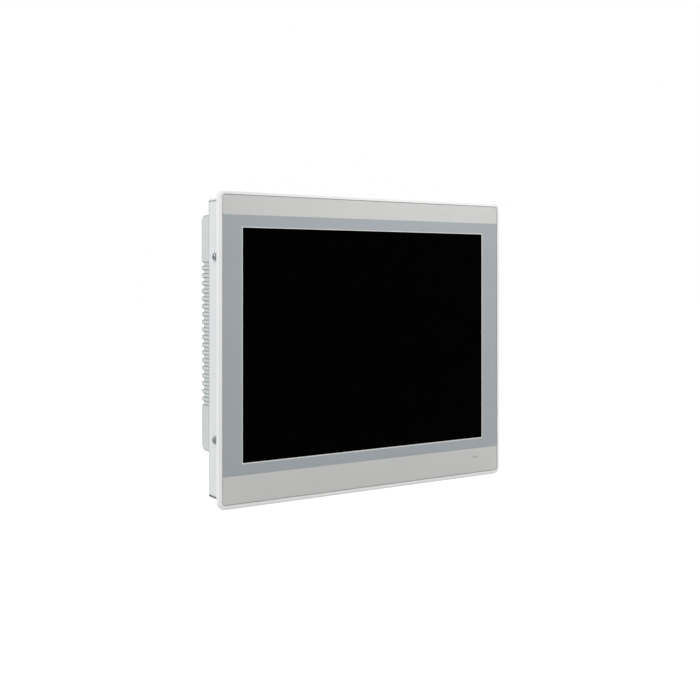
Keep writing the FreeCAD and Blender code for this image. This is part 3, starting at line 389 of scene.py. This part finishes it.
# %% [markdown]
# ### Box and ribbed cover
#
# The box is folded from 1.5 mm sheet, so its rear edges turn over a small radius. The cover is a
# casting: the tips of its ribs and the ends of its grooves are soft, which draws the row of little
# scallops along its side.

# %% Round the box and the cover
box_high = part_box("rear_chassis")[1]
cover_low, cover_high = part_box("heat_sink_cover")


WHOLE_WALL_AREA = 1e-3


def is_fold(edge):
    """The box's rear edges, within 4 mm of its outer walls."""
    return near(edge, "y", box_high.y / MM) and lies_outside(edge, box_high, 4 * MM)


def is_side_wall(face):
    """The box's left and right walls, and the parts of their rings that lie along the walls' edges."""
    centre = face.calc_center_median()
    at_rear = centre.y > box_high.y - 2 * MM
    at_end = abs(centre.z) > box_high.z - 6 * MM
    is_whole = face.calc_area() > WHOLE_WALL_AREA
    on_side = abs(face.normal.x) > SQUARE and abs(centre.x) > box_high.x - 0.1 * MM
    return on_side and (at_rear or at_end or is_whole)


# The ring inside the side walls' outline is marked for painted shade, a dark seam line towards the cover.
rounded("rear_chassis", 0.5, is_fold, 3, rim=is_side_wall, rim_width=1.2)


def is_rib_edge(edge):
    """The end outlines of the cover, and the long edges along its ribs."""
    along = near(edge, "y", cover_high.y / MM) and edge.calc_length() > 20 * MM
    return along or near(edge, "x", cover_low.x / MM, cover_high.x / MM)


def is_rib_end(face):
    """The two end walls of the cover, which carry the outline of every rib."""
    return abs(face.normal.x) > SQUARE and abs(face.calc_center_median().x) > cover_high.x - 0.1 * MM


# The ring round each end wall is marked for painted shade along the outline of the ribs.
rounded("heat_sink_cover", 0.3, is_rib_edge, rim=is_rib_end)

# %% [markdown]
# ### Seal, light pipes and port parts
#
# The seal is a moulded silicone cord, so its bearing face is a crown and not a flat strip. Shells
# round the ports are stamped and drawn thin steel with edges broken by about 0.1 mm.

# %% Round the small parts
SHORTEST_EDGE = 0.5 * MM
gasket_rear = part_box("panel_gasket")[1].y / MM
shell_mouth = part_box("serial_shells")[0].z / MM
rounded("panel_gasket", 0.7, lambda edge: near(edge, "y", gasket_rear), segments=4)
for node, width in (
    ("status_light_pipe", 0.25), ("io_plate", 0.12), ("ethernet_shells", 0.12), ("ethernet_inserts", 0.08),
    ("usb_shell", 0.15), ("usb_tongues", 0.12), ("serial_inserts", 0.1),
    ("serial_jack_nuts", 0.2), ("power_header", 0.15), ("power_pins", 0.12), ("dip_switch_body", 0.1),
    ("reset_switch_body", 0.12),
):
    rounded(node, width, lambda edge: edge.calc_length() > SHORTEST_EDGE)
rounded("serial_shells", 0.12, lambda edge: near(edge, "z", shell_mouth))

# %% [markdown]
# ## Screws
#
# A pan head is a disc whose upper edge rolls over into a shallow dome, with a cross punched into it by
# a tapered tool. So the model starts as a cylinder, its top edge gets a wide bevel, its underside is
# inset and extruded into the shank, and a tapered cross is cut out. One screw is made for each size
# and copied, and each copy is turned a little, because nobody lines screws up.

# %% Model a cross-shaped punch
PUNCH_TAPER = 0.45


def cross_punch(reach, width, low, high):
    """A cross whose four arms taper towards its lower end."""
    arms = []
    for across, along in ((reach, width), (width, reach)):
        bpy.ops.object.select_all(action="DESELECT")
        bpy.ops.mesh.primitive_cube_add(size=1, location=(0, 0, (low + high) / 2))
        arm = bpy.context.object
        arm.scale = (2 * across, 2 * along, high - low)
        bpy.ops.object.transform_apply(location=True, scale=True)
        edit(arm)
        pick(arm, "FACE", lambda face: face.normal.z < -0.9)
        bpy.ops.transform.resize(value=(PUNCH_TAPER, PUNCH_TAPER, 1))
        bpy.ops.object.mode_set(mode="OBJECT")
        arms.append(arm)
    only(arms[1], arms[0])
    solver = arms[0].modifiers.new("union", "BOOLEAN")
    solver.operation = "UNION"
    solver.object = arms[1]
    only(arms[0])
    bpy.ops.object.modifier_apply(modifier="union")
    bpy.data.objects.remove(arms[1])
    return arms[0]


# %% Model one screw
def pan_head_screw(name, head, rise, thread, length):
    """A screw with its seat at the origin and its head up; sizes in metres."""
    bpy.ops.object.select_all(action="DESELECT")
    bpy.ops.mesh.primitive_cylinder_add(vertices=40, radius=head, depth=rise, location=(0, 0, rise / 2))
    screw = bpy.context.object
    screw.name = name
    bpy.ops.object.transform_apply(location=True)
    edit(screw)
    pick(screw, "EDGE", lambda edge: all(end.co.z > 0.9 * rise for end in edge.verts) and is_sharp(edge))
    bpy.ops.mesh.bevel(offset=0.42 * head, segments=6, profile=0.5)
    pick(screw, "FACE", lambda face: face.normal.z < -0.9)
    bpy.ops.mesh.inset(thickness=head - thread)
    bpy.ops.mesh.extrude_region_move(TRANSFORM_OT_translate={"value": (0, 0, -length)})
    pick(screw, "EDGE", lambda edge: all(end.co.z < -0.9 * length for end in edge.verts) and is_sharp(edge))
    bpy.ops.mesh.bevel(offset=0.3 * thread, segments=2)
    bpy.ops.object.mode_set(mode="OBJECT")
    punch = cross_punch(0.5 * head, 0.12 * head, 0.3 * rise, 1.1 * rise)
    cutter = screw.modifiers.new("recess", "BOOLEAN")
    cutter.operation = "DIFFERENCE"
    cutter.object = punch
    only(screw)
    bpy.ops.object.modifier_apply(modifier="recess")
    bpy.data.objects.remove(punch)
    return done(screw, 40)


# %% Copy a piece to its places
FACING = {
    "rear": Matrix.Rotation(math.radians(-90), 4, "X"), "down": Matrix.Rotation(math.radians(180), 4, "X"),
    "left": Matrix.Rotation(math.radians(-90), 4, "Y"), "right": Matrix.Rotation(math.radians(90), 4, "Y"),
}


def set_out(master, name, places, body, slot, *nodes):
    """Copy a master to each (point, way it faces, turn in degrees), as one piece; the master goes away."""
    copies = []
    for point, way, turn in places:
        copy = bpy.data.objects.new(name, master.data.copy())
        bpy.context.collection.objects.link(copy)
        spin = Matrix.Rotation(math.radians(turn), 4, "Z")
        copy.data.transform(Matrix.Translation(point) @ FACING.get(way, Matrix()) @ spin)
        copies.append(copy)
    bpy.data.objects.remove(master)
    only(*copies)
    if len(copies) > 1:
        bpy.ops.object.join()
    piece = bpy.context.view_layer.objects.active
    piece.name = name
    return settle(piece, body, slot, *nodes)


# %% Drive the side screws
screw_low, screw_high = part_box("side_screws")
head_radius = 3.4 * MM
head_rise = 2.2 * MM
middle_y = (screw_low.y + screw_high.y) / 2
side_z = screw_high.z - head_radius
places = [
    (Vector((side * (screw_high.x - head_rise), middle_y, up * side_z)), way, 20 + 33 * side + 11 * up)
    for side, way in ((-1, "left"), (1, "right")) for up in (-1, 1)
]
master = pan_head_screw("side_screw", head_radius, head_rise, 1.6 * MM, 7.5 * MM)
set_out(master, "side_screws_driven", places, "panel", "screw_steel", "side_screws")

# %% Drive the cover, earth and port plate screws
COVER_SEATS = [(-155, 119.5), (155, 119.5), (-52, 119.5), (52, 119.5), (-155, -92.2), (155, -92.2)]
SEAT_DEPTH = 4.3 * MM
EARTH_X = 0.150
EARTH_Z = -0.125
PORT_PLATE_SCREW_X = 0.145
cover_seat = cover_high.y - SEAT_DEPTH
places = [
    (Vector((x * MM, cover_seat, z * MM)), "rear", 17 * turn)
    for turn, (x, z) in enumerate(COVER_SEATS)
]
master = pan_head_screw("cover_screw", 3.6 * MM, 2.4 * MM, 1.9 * MM, 28 * MM)
set_out(master, "cover_screws_driven", places, "panel", "screw_steel", "cover_screws")

master = pan_head_screw("earth_screw_blank", 4 * MM, 2.6 * MM, 1.6 * MM, 6 * MM)
places = [(Vector((EARTH_X, box_high.y, EARTH_Z)), "rear", 30)]
set_out(master, "earth_screw_driven", places, "panel", "screw_steel", "earth_screw")

plate_low, plate_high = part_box("io_plate_screws")
plate_y = (plate_low.y + plate_high.y) / 2
places = [(Vector((side * PORT_PLATE_SCREW_X, plate_y, cover_low.z)), "down", 25 * side) for side in (-1, 1)]
master = pan_head_screw("plate_screw", 2.8 * MM, 1.9 * MM, 1.2 * MM, 4.6 * MM)
set_out(master, "plate_screws_driven", places, "panel", "screw_steel", "io_plate_screws")

# %% [markdown]
# ## Small blocks with soft edges
#
# Contacts, lamp windows and switch parts all start the same way: a block between two corners whose
# edges are broken. What makes each one itself comes after, such as a dish pressed into a button.

# %% Model a block between two corners
def block(name, low, high, width, segments=2, test=is_sharp):
    """A block between two corners in millimetres, its edges that pass a test bevelled by a width."""
    low, high = Vector(low) * MM, Vector(high) * MM
    bpy.ops.object.select_all(action="DESELECT")
    bpy.ops.mesh.primitive_cube_add(size=1, location=(low + high) / 2)
    piece = bpy.context.object
    piece.name = name
    piece.scale = high - low
    bpy.ops.object.transform_apply(location=True, scale=True)
    edit(piece)
    pick(piece, "EDGE", test)
    bpy.ops.mesh.bevel(offset=width * MM, segments=segments)
    return done(piece)


def merged(name, blocks, body, slot, *nodes):
    """Join blocks into one piece."""
    only(*blocks)
    if len(blocks) > 1:
        bpy.ops.object.join()
    piece = bpy.context.view_layer.objects.active
    piece.name = name
    return settle(piece, body, slot, *nodes)


# %% [markdown]
# ### Rating plate
#
# A thin anodised plate is glued into the shallow recess at the top of the cover. It stays blank. Its
# corners are rounded first, on the four edges that run front to back, and its outline is broken last.

# %% Lay the plate in its recess
PLATE_REACH = 37.6
PLATE_BOTTOM = 93.4
PLATE_TOP = 114.6
plate_back = cover_high.y / MM - 0.4
plate_face = plate_back + 0.3


def runs_through(edge):
    """Whether an edge runs front to back."""
    return abs(edge.verts[0].co.y - edge.verts[1].co.y) > 0.1 * MM


plate = block("blank_rating_plate", (-PLATE_REACH, plate_back, PLATE_BOTTOM),
              (PLATE_REACH, plate_face, PLATE_TOP), 1.7, 5, runs_through)
edit(plate)
pick(plate, "EDGE", lambda edge: near(edge, "y", plate_face) and is_sharp(edge))
bpy.ops.mesh.bevel(offset=0.06 * MM, segments=1)
done(plate)
settle(plate, "panel", "plate_steel")

# %% [markdown]
# ### Contacts and lamps in the sockets
#
# Eight sprung wires lie side by side in each network socket, 1.02 mm apart, and four flat strips on
# each tongue of the stacked socket. They are gold over nickel, the one warm colour down there. Each
# network socket has a green and an amber window that a lamp on the board shines through.

# %% Lay the contacts
JACK_X = (-98, -76)
STACK_X = -50
WIRE_PITCH = 1.02
WIRE_PLACES = (-3.5, -2.5, -1.5, -0.5, 0.5, 1.5, 2.5, 3.5)
STRIP_PLACES = (-3.5, -1.2, 1.2, 3.5)
TONGUE_LEVELS = (1.0, 9.3)
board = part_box("mainboard")[1].y / MM
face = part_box("io_plate")[0].z / MM


def wire(x):
    """One sprung wire of a network socket, 0.46 mm wide."""
    low = (x - 0.23, board + 9.95, face + 1.9)
    high = (x + 0.23, board + 10.35, face + 12.9)
    return block("wire", low, high, 0.08, 1)


def strip(x, level):
    """One flat strip, 1 mm wide, on a tongue of the stacked socket."""
    low = (x - 0.5, board + level + 2.8, face + 1.6)
    high = (x + 0.5, board + level + 2.95, face + 10)
    return block("strip", low, high, 0.05, 1)


wires = [wire(x + WIRE_PITCH * place) for x in JACK_X for place in WIRE_PLACES]
merged("network_contacts", wires, "panel", "contact_brass")
strips = [strip(STACK_X + place, level) for level in TONGUE_LEVELS for place in STRIP_PLACES]
merged("stacked_socket_contacts", strips, "panel", "contact_brass")

# %% Set the lamp windows
LAMP_OFFSET = 5.2


def lamp_window(x):
    """One window, 2.6 mm wide, low in a socket's face."""
    return block("window", (x - 1.3, board + 1.5, face + 0.25), (x + 1.3, board + 3.1, face + 0.9), 0.2)


for name, side in (("green_lamp_windows", -1), ("amber_lamp_windows", 1)):
    windows = [lamp_window(x + side * LAMP_OFFSET) for x in JACK_X]
    merged(name, windows, "panel", "pipe_acrylic")

# %% [markdown]
# ### Reset button and setting switches
#
# The reset button is a turned plunger with a dished end for a pen tip. Each slide switch has a white
# post with a groove across its tip for the same pen. They are separate pieces, because each one moves.

# %% Turn the reset button
button_low, button_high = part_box("reset_button")
centre = (button_low + button_high) / 2
radius = (button_high.x - button_low.x) / 2
height = button_high.z - button_low.z
bpy.ops.object.select_all(action="DESELECT")
bpy.ops.mesh.primitive_cylinder_add(vertices=48, radius=radius, depth=height, location=centre)
button = bpy.context.object
button.name = "reset_plunger"
bpy.ops.object.transform_apply(location=True)
edit(button)
pick(button, "FACE", lambda facet: facet.normal.z < -0.9)
bpy.ops.mesh.inset(thickness=0.45 * MM)
bpy.ops.mesh.inset(thickness=0.5 * MM, depth=-0.22 * MM)
bpy.ops.mesh.inset(thickness=0.4 * MM, depth=-0.1 * MM)
pick(button, "EDGE", lambda edge: is_sharp(edge, 60))
bpy.ops.mesh.bevel(offset=0.15 * MM, segments=3)
done(button, 50)
settle(button, "reset_button", SLOT_OF["reset_button"], "reset_button")

# %% Mould the switch posts
for number in range(1, 5):
    node = f"dip_slider_{number}"
    low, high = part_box(node)
    post = block(f"switch_post_{number}", low / MM, high / MM, 0.1)
    groove = block("groove", (low.x / MM + 0.45, low.y / MM - 1, low.z / MM - 0.2),
                   (high.x / MM - 0.45, high.y / MM + 1, low.z / MM + 0.2), 0.04, 1)
    cutter = post.modifiers.new("groove", "BOOLEAN")
    cutter.operation = "DIFFERENCE"
    cutter.object = groove
    only(post)
    bpy.ops.object.modifier_apply(modifier="groove")
    bpy.data.objects.remove(groove)
    done(post)
    settle(post, node, SLOT_OF[node], node)

# %% [markdown]
# ## Finishes
#
# Every finish below is one shader fed by patterns in the piece's own coordinates, in metres, so that a
# grain of a given size in millimetres is that size on every piece. Most finishes share one build: a
# broad, faint unevenness of colour, a fine grain that varies the gloss, and the same grain as relief.

# %% Start a finish
def blank(name, sockets):
    """A new material: the tree, its shader with uniform sockets set, and the piece's own coordinates."""
    material = bpy.data.materials.new(name)
    material.use_nodes = True
    tree = material.node_tree
    shader = tree.nodes["Principled BSDF"]
    for socket, value in sockets.items():
        shader.inputs[socket].default_value = value
    print("finish", name)
    return material, tree, shader, add(tree, "TexCoord").outputs["Object"]


def per(size):
    """The texture scale that gives features this many millimetres across."""
    return 1 / (size * MM)


EVEN = (1, 1, 1)


def grained(name, dark, light, gloss, grain, depth, stretch=EVEN, cloud=30, edge_shade_colour=None, **sockets):
    """A finish with cloudy colour, a grain in millimetres that varies the roughness, and its relief."""
    sockets = {socket.replace("_", " "): value for socket, value in sockets.items()}
    material, tree, shader, place = blank(name, sockets)
    laid = add(tree, "Mapping", {"Vector": place, "Scale": stretch}).outputs["Vector"]
    broad = add(tree, "TexNoise", {"Vector": laid, "Scale": per(cloud), "Detail": 3.0}).outputs[0]
    fine = add(tree, "TexNoise", {"Vector": laid, "Scale": per(grain), "Detail": 2.0}).outputs[0]
    colour = add(tree, "Mix", {0: broad, 6: linear(dark), 7: linear(light)}, data_type="RGBA").outputs[2]
    # Painted shade: faces marked as edge are drawn in the darker edge shade colour, along edges and seams.
    if edge_shade_colour:
        edge_shade_mask = add(tree, "Attribute", attribute_name="edge").outputs["Fac"]
        colour = add(tree, "Mix", {0: edge_shade_mask, 6: colour, 7: linear(edge_shade_colour)}, data_type="RGBA").outputs[2]
    rough = add(tree, "MapRange", {"Value": fine, "From Min": 0.3, "From Max": 0.7,
                                   "To Min": gloss[0], "To Max": gloss[1]}).outputs["Result"]
    relief = add(tree, "Bump", {"Height": fine, "Distance": depth * MM, "Strength": 1.0}).outputs["Normal"]
    for value, socket in ((colour, "Base Color"), (rough, "Roughness"), (relief, "Normal")):
        tree.links.new(value, shader.inputs[socket])
    return material


FINISH = {}

# %% [markdown]
# ### Paints
#
# The front frame has a fine satin wet paint, smooth but for a trace of orange peel. The sheet box has
# a powder coat, thicker, with 1.5 mm ripples. The cast cover has the same colour a little darker and
# greener over a sandy casting skin. Along every rounded edge each paint is drawn in a darker grey,
# painted shade that outlines the piece.

# %% Mix the paints
# Each paint's last colour is the darker grey of its painted edge shade.
FINISH["bezel_paint"] = grained(
    "satin_frame_paint", "#DFE0DF", "#E4E5E4", (0.34, 0.42), 0.8, 0.004, edge_shade_colour="#7F8182")
FINISH["chassis_paint"] = grained(
    "powder_coated_sheet", "#D3D6D7", "#D9DBDB", (0.40, 0.52), 1.5, 0.02, edge_shade_colour="#8A8E90")
FINISH["cover_metal"] = grained(
    "painted_casting", "#C0C5C2", "#C9CDCB", (0.45, 0.60), 0.7, 0.03, edge_shade_colour="#8A8F8D")

# %% [markdown]
# ### Printed film
#
# The film is polyester, printed on its back and finely etched on its front, so it looks silky and even.
# A blue-grey band runs across it at the height of the display, between two pale warm bands. The bands
# are the piece's own height compared with two levels. The etch is finer than the render can show, so
# its grain is drawn at 0.5 mm. The last half millimetre all round is drawn in a darker grey, painted
# shade in the gap between the film and the frame's rim.

# %% Print the film
film, tree, shader, place = blank("printed_polyester_film", {"IOR": 1.57})
BAND_TOP = 130.5 * MM
BAND_BOTTOM = -122.6 * MM
FILM_EDGE_SHADE = 0.5 * MM
height = add(tree, "SeparateXYZ", {"Vector": place}).outputs["Z"]
under = add(tree, "Math", {0: height, 1: BAND_TOP}, operation="LESS_THAN").outputs[0]
over = add(tree, "Math", {0: height, 1: BAND_BOTTOM}, operation="GREATER_THAN").outputs[0]
between = add(tree, "Math", {0: under, 1: over}, operation="MULTIPLY").outputs[0]
etch = add(tree, "TexNoise", {"Vector": place, "Scale": per(0.5), "Detail": 2.0}).outputs[0]
ink = add(tree, "TexNoise", {"Vector": place, "Scale": per(60), "Detail": 2.0}).outputs[0]
pale = add(tree, "Mix", {0: ink, 6: linear("#BDBEBB"), 7: linear("#C1C2BF")}, data_type="RGBA").outputs[2]
blue = add(tree, "Mix", {0: ink, 6: linear("#979CA1"), 7: linear("#9BA1A6")}, data_type="RGBA").outputs[2]
print_colour = add(tree, "Mix", {0: between, 6: pale, 7: blue}, data_type="RGBA").outputs[2]
# Painted shade: the film's outermost half millimetre is drawn darker grey, for shade in the gap along the
# rim.
film_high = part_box("front_overlay")[1]
edge_shade_sides = []
for axis, reach in (("X", film_high.x), ("Z", film_high.z)):
    along = add(tree, "SeparateXYZ", {"Vector": place}).outputs[axis]
    outward = add(tree, "Math", {0: along}, operation="ABSOLUTE").outputs[0]
    shaded_side = add(tree, "Math", {0: outward, 1: reach - FILM_EDGE_SHADE}, operation="GREATER_THAN")
    edge_shade_sides.append(shaded_side.outputs[0])
edge = add(tree, "Math", {0: edge_shade_sides[0], 1: edge_shade_sides[1]}, operation="MAXIMUM").outputs[0]
gap_shade = linear("#8F9192")
print_colour = add(tree, "Mix", {0: edge, 6: print_colour, 7: gap_shade}, data_type="RGBA").outputs[2]
silk = add(tree, "MapRange", {"Value": etch, "To Min": 0.42, "To Max": 0.58}).outputs["Result"]
relief = add(tree, "Bump", {"Height": etch, "Distance": 0.003 * MM, "Strength": 1.0}).outputs["Normal"]
for value, socket in ((print_colour, "Base Color"), (silk, "Roughness"), (relief, "Normal")):
    tree.links.new(value, shader.inputs[socket])
FINISH["overlay_film"] = film

# %% [markdown]
# ### Display glass
#
# A switched-off display behind bonded glass is black. The glass has an anti-reflection coat and a very
# fine anti-glare etch, which together take away nearly all of the mirror image, so its specular level
# is far under plain glass.

# %% Coat the glass
FINISH["touch_glass"] = grained(
    "coated_touch_glass", "#010101", "#020202", (0.10, 0.16), 0.6, 0.001, Specular_IOR_Level=0.004)
FINISH["cell_glass"] = grained("cell_glass", "#050506", "#070709", (0.05, 0.09), 0.8, 0.0005)

# %% [markdown]
# ### Rubber, foam and soft pads
#
# The seal is silicone, matt with a slightly dusty bloom. The dust seals are closed-cell foam tape. The
# thermal pads are silicone filled with ceramic powder, soft and chalky.

# %% Mix the rubbers
FINISH["gasket_rubber"] = grained(
    "silicone_seal", "#1C1C1D", "#262627", (0.60, 0.78), 0.5, 0.01, Sheen_Weight=0.15)
FINISH["seal_foam"] = grained("foam_tape", "#121212", "#1D1D1D", (0.80, 0.95), 0.4, 0.08)
FINISH["thermal_pad"] = grained("ceramic_filled_pad", "#7E8CA3", "#8C99AE", (0.75, 0.90), 0.6, 0.02)

# %% [markdown]
# ### Plated and bare metals
#
# Zinc plating is bright with a cloudy bluish tint, nickel is warmer and clearer, and cold-rolled sheet
# shows fine lines along the way it was rolled. Those lines are a grain stretched along one axis:
# 0.15 mm wide in reality and drawn at 0.3 mm. Milled aluminium has the same lines, wider.

# %% Plate the metals
ROLLED = (0.08, 1, 1)
METALS = {
    # name, dark and light colour, gloss, grain and relief in mm, stretch, size of the clouds in mm
    "module_steel": ("plated_module_sheet", "#B4B6B5", "#C4C6C5", (0.28, 0.42), 0.3, 0.002, ROLLED, 30),
    "bracket_steel": ("zinc_plated_bracket", "#A9ABAA", "#BFC2C4", (0.32, 0.48), 0.6, 0.003, EVEN, 8),
    "screw_steel": ("zinc_plated_screw", "#77797B", "#B4B6B9", (0.25, 0.40), 0.35, 0.003, EVEN, 3),
    "plate_steel": ("zinc_plated_port_plate", "#B2B4B3", "#C6C9CA", (0.30, 0.45), 0.3, 0.002, ROLLED, 10),
    "port_steel": ("nickel_plated_shell", "#B9B6AF", "#CAC7C0", (0.18, 0.30), 0.3, 0.001, EVEN, 6),
    "cell_steel": ("nickel_plated_can", "#C2C1BC", "#D0CFCB", (0.14, 0.24), 0.3, 0.001, EVEN, 6),
    "capacitor_can": ("drawn_aluminium_can", "#BFC1C3", "#CDCFD0", (0.22, 0.34), 0.3, 0.001, (1, 0.1, 1), 5),
    "spreader_metal": ("milled_aluminium", "#C3C5C7", "#D2D4D5", (0.20, 0.38), 0.8, 0.004, ROLLED, 20),
    "standoff_brass": ("turned_brass", "#B8964A", "#CCAB5E", (0.22, 0.34), 0.3, 0.002, (1, 6, 1), 5),
    "contact_brass": ("gold_flashed_contact", "#D4A74A", "#E3BA61", (0.15, 0.25), 0.3, 0.001, EVEN, 4),
}
for slot, recipe in METALS.items():
    FINISH[slot] = grained(*recipe, Metallic=1.0)
anodised = grained(
    "anodised_blank_plate", "#A9ACAE", "#B7BABB", (0.50, 0.62), 0.3, 0.002, ROLLED, 15, Metallic=1.0)

# %% [markdown]
# ### Moulded plastics
#
# Connector bodies are moulded in glass-filled nylon or polyester, matt with a trace of flow marks. The
# tool that moulds a visible part is spark-eroded, which leaves a fine pebble of about 0.3 mm.

# %% Mould the plastics
PLASTICS = {
    # name, dark and light colour, gloss, grain and relief in mm
    "module_plastic": ("white_moulded_frame", "#E0E0DC", "#E9E9E5", (0.40, 0.55), 0.4, 0.005),
    "sheet_plastic": ("diffuser_sheet", "#EAECEB", "#F2F3F2", (0.35, 0.50), 0.35, 0.006, (1, 1, 0.05)),
    "chip_epoxy": ("moulding_compound", "#1C1C1F", "#27272A", (0.50, 0.65), 0.3, 0.008),
    "socket_plastic": ("black_nylon", "#1B1B1C", "#252526", (0.40, 0.55), 0.3, 0.006),
    "header_plastic": ("green_nylon", "#1C6A42", "#227A4D", (0.38, 0.52), 0.3, 0.006),
    "serial_plastic": ("blue_black_polyester", "#182131", "#202B3E", (0.38, 0.52), 0.3, 0.006),
    "switch_plastic": ("red_switch_block", "#9C1F1D", "#AD2825", (0.35, 0.50), 0.3, 0.005),
    "slider_plastic": ("white_switch_post", "#E6E6E1", "#EFEFEB", (0.35, 0.48), 0.25, 0.004),
    "button_plastic": ("black_plunger", "#1A1A1B", "#242425", (0.30, 0.45), 0.25, 0.004),
}
for slot, recipe in PLASTICS.items():
    FINISH[slot] = grained(*recipe)
green_window = grained(
    "green_lamp_window", "#3C8F4C", "#4DA35C", (0.20, 0.32), 0.3, 0.003, Transmission_Weight=0.25)
amber_window = grained(
    "amber_lamp_window", "#C98A1E", "#DA9B30", (0.20, 0.32), 0.3, 0.003, Transmission_Weight=0.25)

# %% [markdown]
# ### Clear acrylic
#
# The light pipes are frosted where they meet the board and polished at the front. The light guide
# behind the display is clear acrylic with white dots printed on its back, which let light out evenly.
# The dots are 0.5 mm apart in reality and drawn 2 mm apart.

# %% Cast the acrylic
FINISH["pipe_acrylic"] = grained(
    "frosted_light_pipe", "#B9BFC0", "#C6CCCC", (0.25, 0.40), 0.3, 0.003, Transmission_Weight=0.3)
clear_acrylic = {"Roughness": 0.12, "IOR": 1.49, "Transmission Weight": 0.2}
guide, tree, shader, place = blank("dotted_light_guide", clear_acrylic)
dots = add(tree, "TexVoronoi", {"Vector": place, "Scale": per(2), "Randomness": 0.0}).outputs["Distance"]
inked = add(tree, "Math", {0: dots, 1: 0.22}, operation="LESS_THAN").outputs[0]
acrylic = linear("#C9D2D2")
dot_ink = linear("#F4F6F6")
colour = add(tree, "Mix", {0: inked, 6: acrylic, 7: dot_ink}, data_type="RGBA").outputs[2]
tree.links.new(colour, shader.inputs["Base Color"])
FINISH["guide_acrylic"] = guide

# %% [markdown]
# ### Circuit board
#
# A board is glass cloth in epoxy under green solder mask. Copper tracks under the mask show as paler,
# slightly raised lines, about 0.3 mm wide and drawn at 0.5 mm: long runs with short links across them.

# %% Lay the tracks
glossy_mask = {"Coat Weight": 0.4, "Coat Roughness": 0.15, "IOR": 1.55}
board_mask, tree, shader, place = blank("solder_mask_board", glossy_mask)
flat = add(tree, "Mapping", {"Vector": place, "Rotation": (math.radians(90), 0, 0)}).outputs["Vector"]
tracks = add(tree, "TexBrick", {
    "Vector": flat, "Scale": per(1), "Color1": linear("#0E4327"), "Color2": linear("#11502F"),
    "Mortar": linear("#1E7345"), "Mortar Size": 0.25, "Brick Width": 14.0, "Row Height": 1.6,
})
weave = add(tree, "TexNoise", {"Vector": place, "Scale": per(0.8), "Detail": 2.0}).outputs[0]
shine = add(tree, "MapRange", {"Value": weave, "To Min": 0.25, "To Max": 0.42}).outputs["Result"]
raised = tracks.outputs["Fac"]
relief = add(tree, "Bump", {"Height": raised, "Distance": 0.03 * MM, "Strength": 1.0}).outputs["Normal"]
for value, socket in ((tracks.outputs["Color"], "Base Color"), (shine, "Roughness"), (relief, "Normal")):
    tree.links.new(value, shader.inputs[socket])
FINISH["board_green"] = board_mask

# %% [markdown]
# ### Flat cables
#
# The display's cable is a row of grey insulated wires bonded side by side, 1 mm apart in reality and
# drawn 2 mm apart. The touch panel's tail is amber polyimide film with copper tracks inside, which show
# as darker stripes, drawn 3.2 mm apart. A wave texture goes through 20 radians in one unit.

# %% Lay the cables
WAVE_RADIANS = 20
for slot, name, base, stripe, pitch, depth in (
    ("ribbon_grey", "bonded_flat_cable", "#A5A5A9", "#8B8B90", 2.0, 0.25),
    ("ribbon_film", "polyimide_tail", "#B9781F", "#8E5716", 3.2, 0.02),
):
    cable, tree, shader, place = blank(name, {"Roughness": 0.42})
    turns = per(pitch) * 2 * math.pi / WAVE_RADIANS
    wires = add(tree, "TexWave", {"Vector": place, "Scale": turns, "Distortion": 0.0},
                wave_type="BANDS", bands_direction="X", wave_profile="SIN").outputs[1]
    colour = add(tree, "Mix", {0: wires, 6: linear(stripe), 7: linear(base)}, data_type="RGBA").outputs[2]
    relief = add(tree, "Bump", {"Height": wires, "Distance": depth * MM, "Strength": 1.0}).outputs["Normal"]
    tree.links.new(colour, shader.inputs["Base Color"])
    tree.links.new(relief, shader.inputs["Normal"])
    FINISH[slot] = cable

# %% [markdown]
# ## Dress the model
#
# Each piece takes the finish of its slot, and so does every CAD node that still shows itself or hides
# inside the case. Three small pieces have a finish of their own.

# %% Give every piece its finish
OWN_FINISH = {
    "blank_rating_plate": anodised,
    "green_lamp_windows": green_window,
    "amber_lamp_windows": amber_window,
}
dressed = 0
for piece in list(bpy.context.scene.objects):
    if piece.type != "MESH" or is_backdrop(piece):
        continue
    slot = piece.get("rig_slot") or SLOT_OF.get(piece.get("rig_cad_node"))
    piece.data.materials.clear()
    piece.data.materials.append(OWN_FINISH.get(piece.name, FINISH[slot]))
    dressed += 1
print("dressed", dressed, "pieces")

# %% [markdown]
# ## Sizes
#
# The CAD model's size is printed at the start, and the dressed model's size here, so the two boxes can be
# set side by side. The dressed model must fill the same box as the CAD model.

# %% Print the dressed size
low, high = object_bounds()
print("visual size in mm", [round(side / MM, 1) for side in high - low])
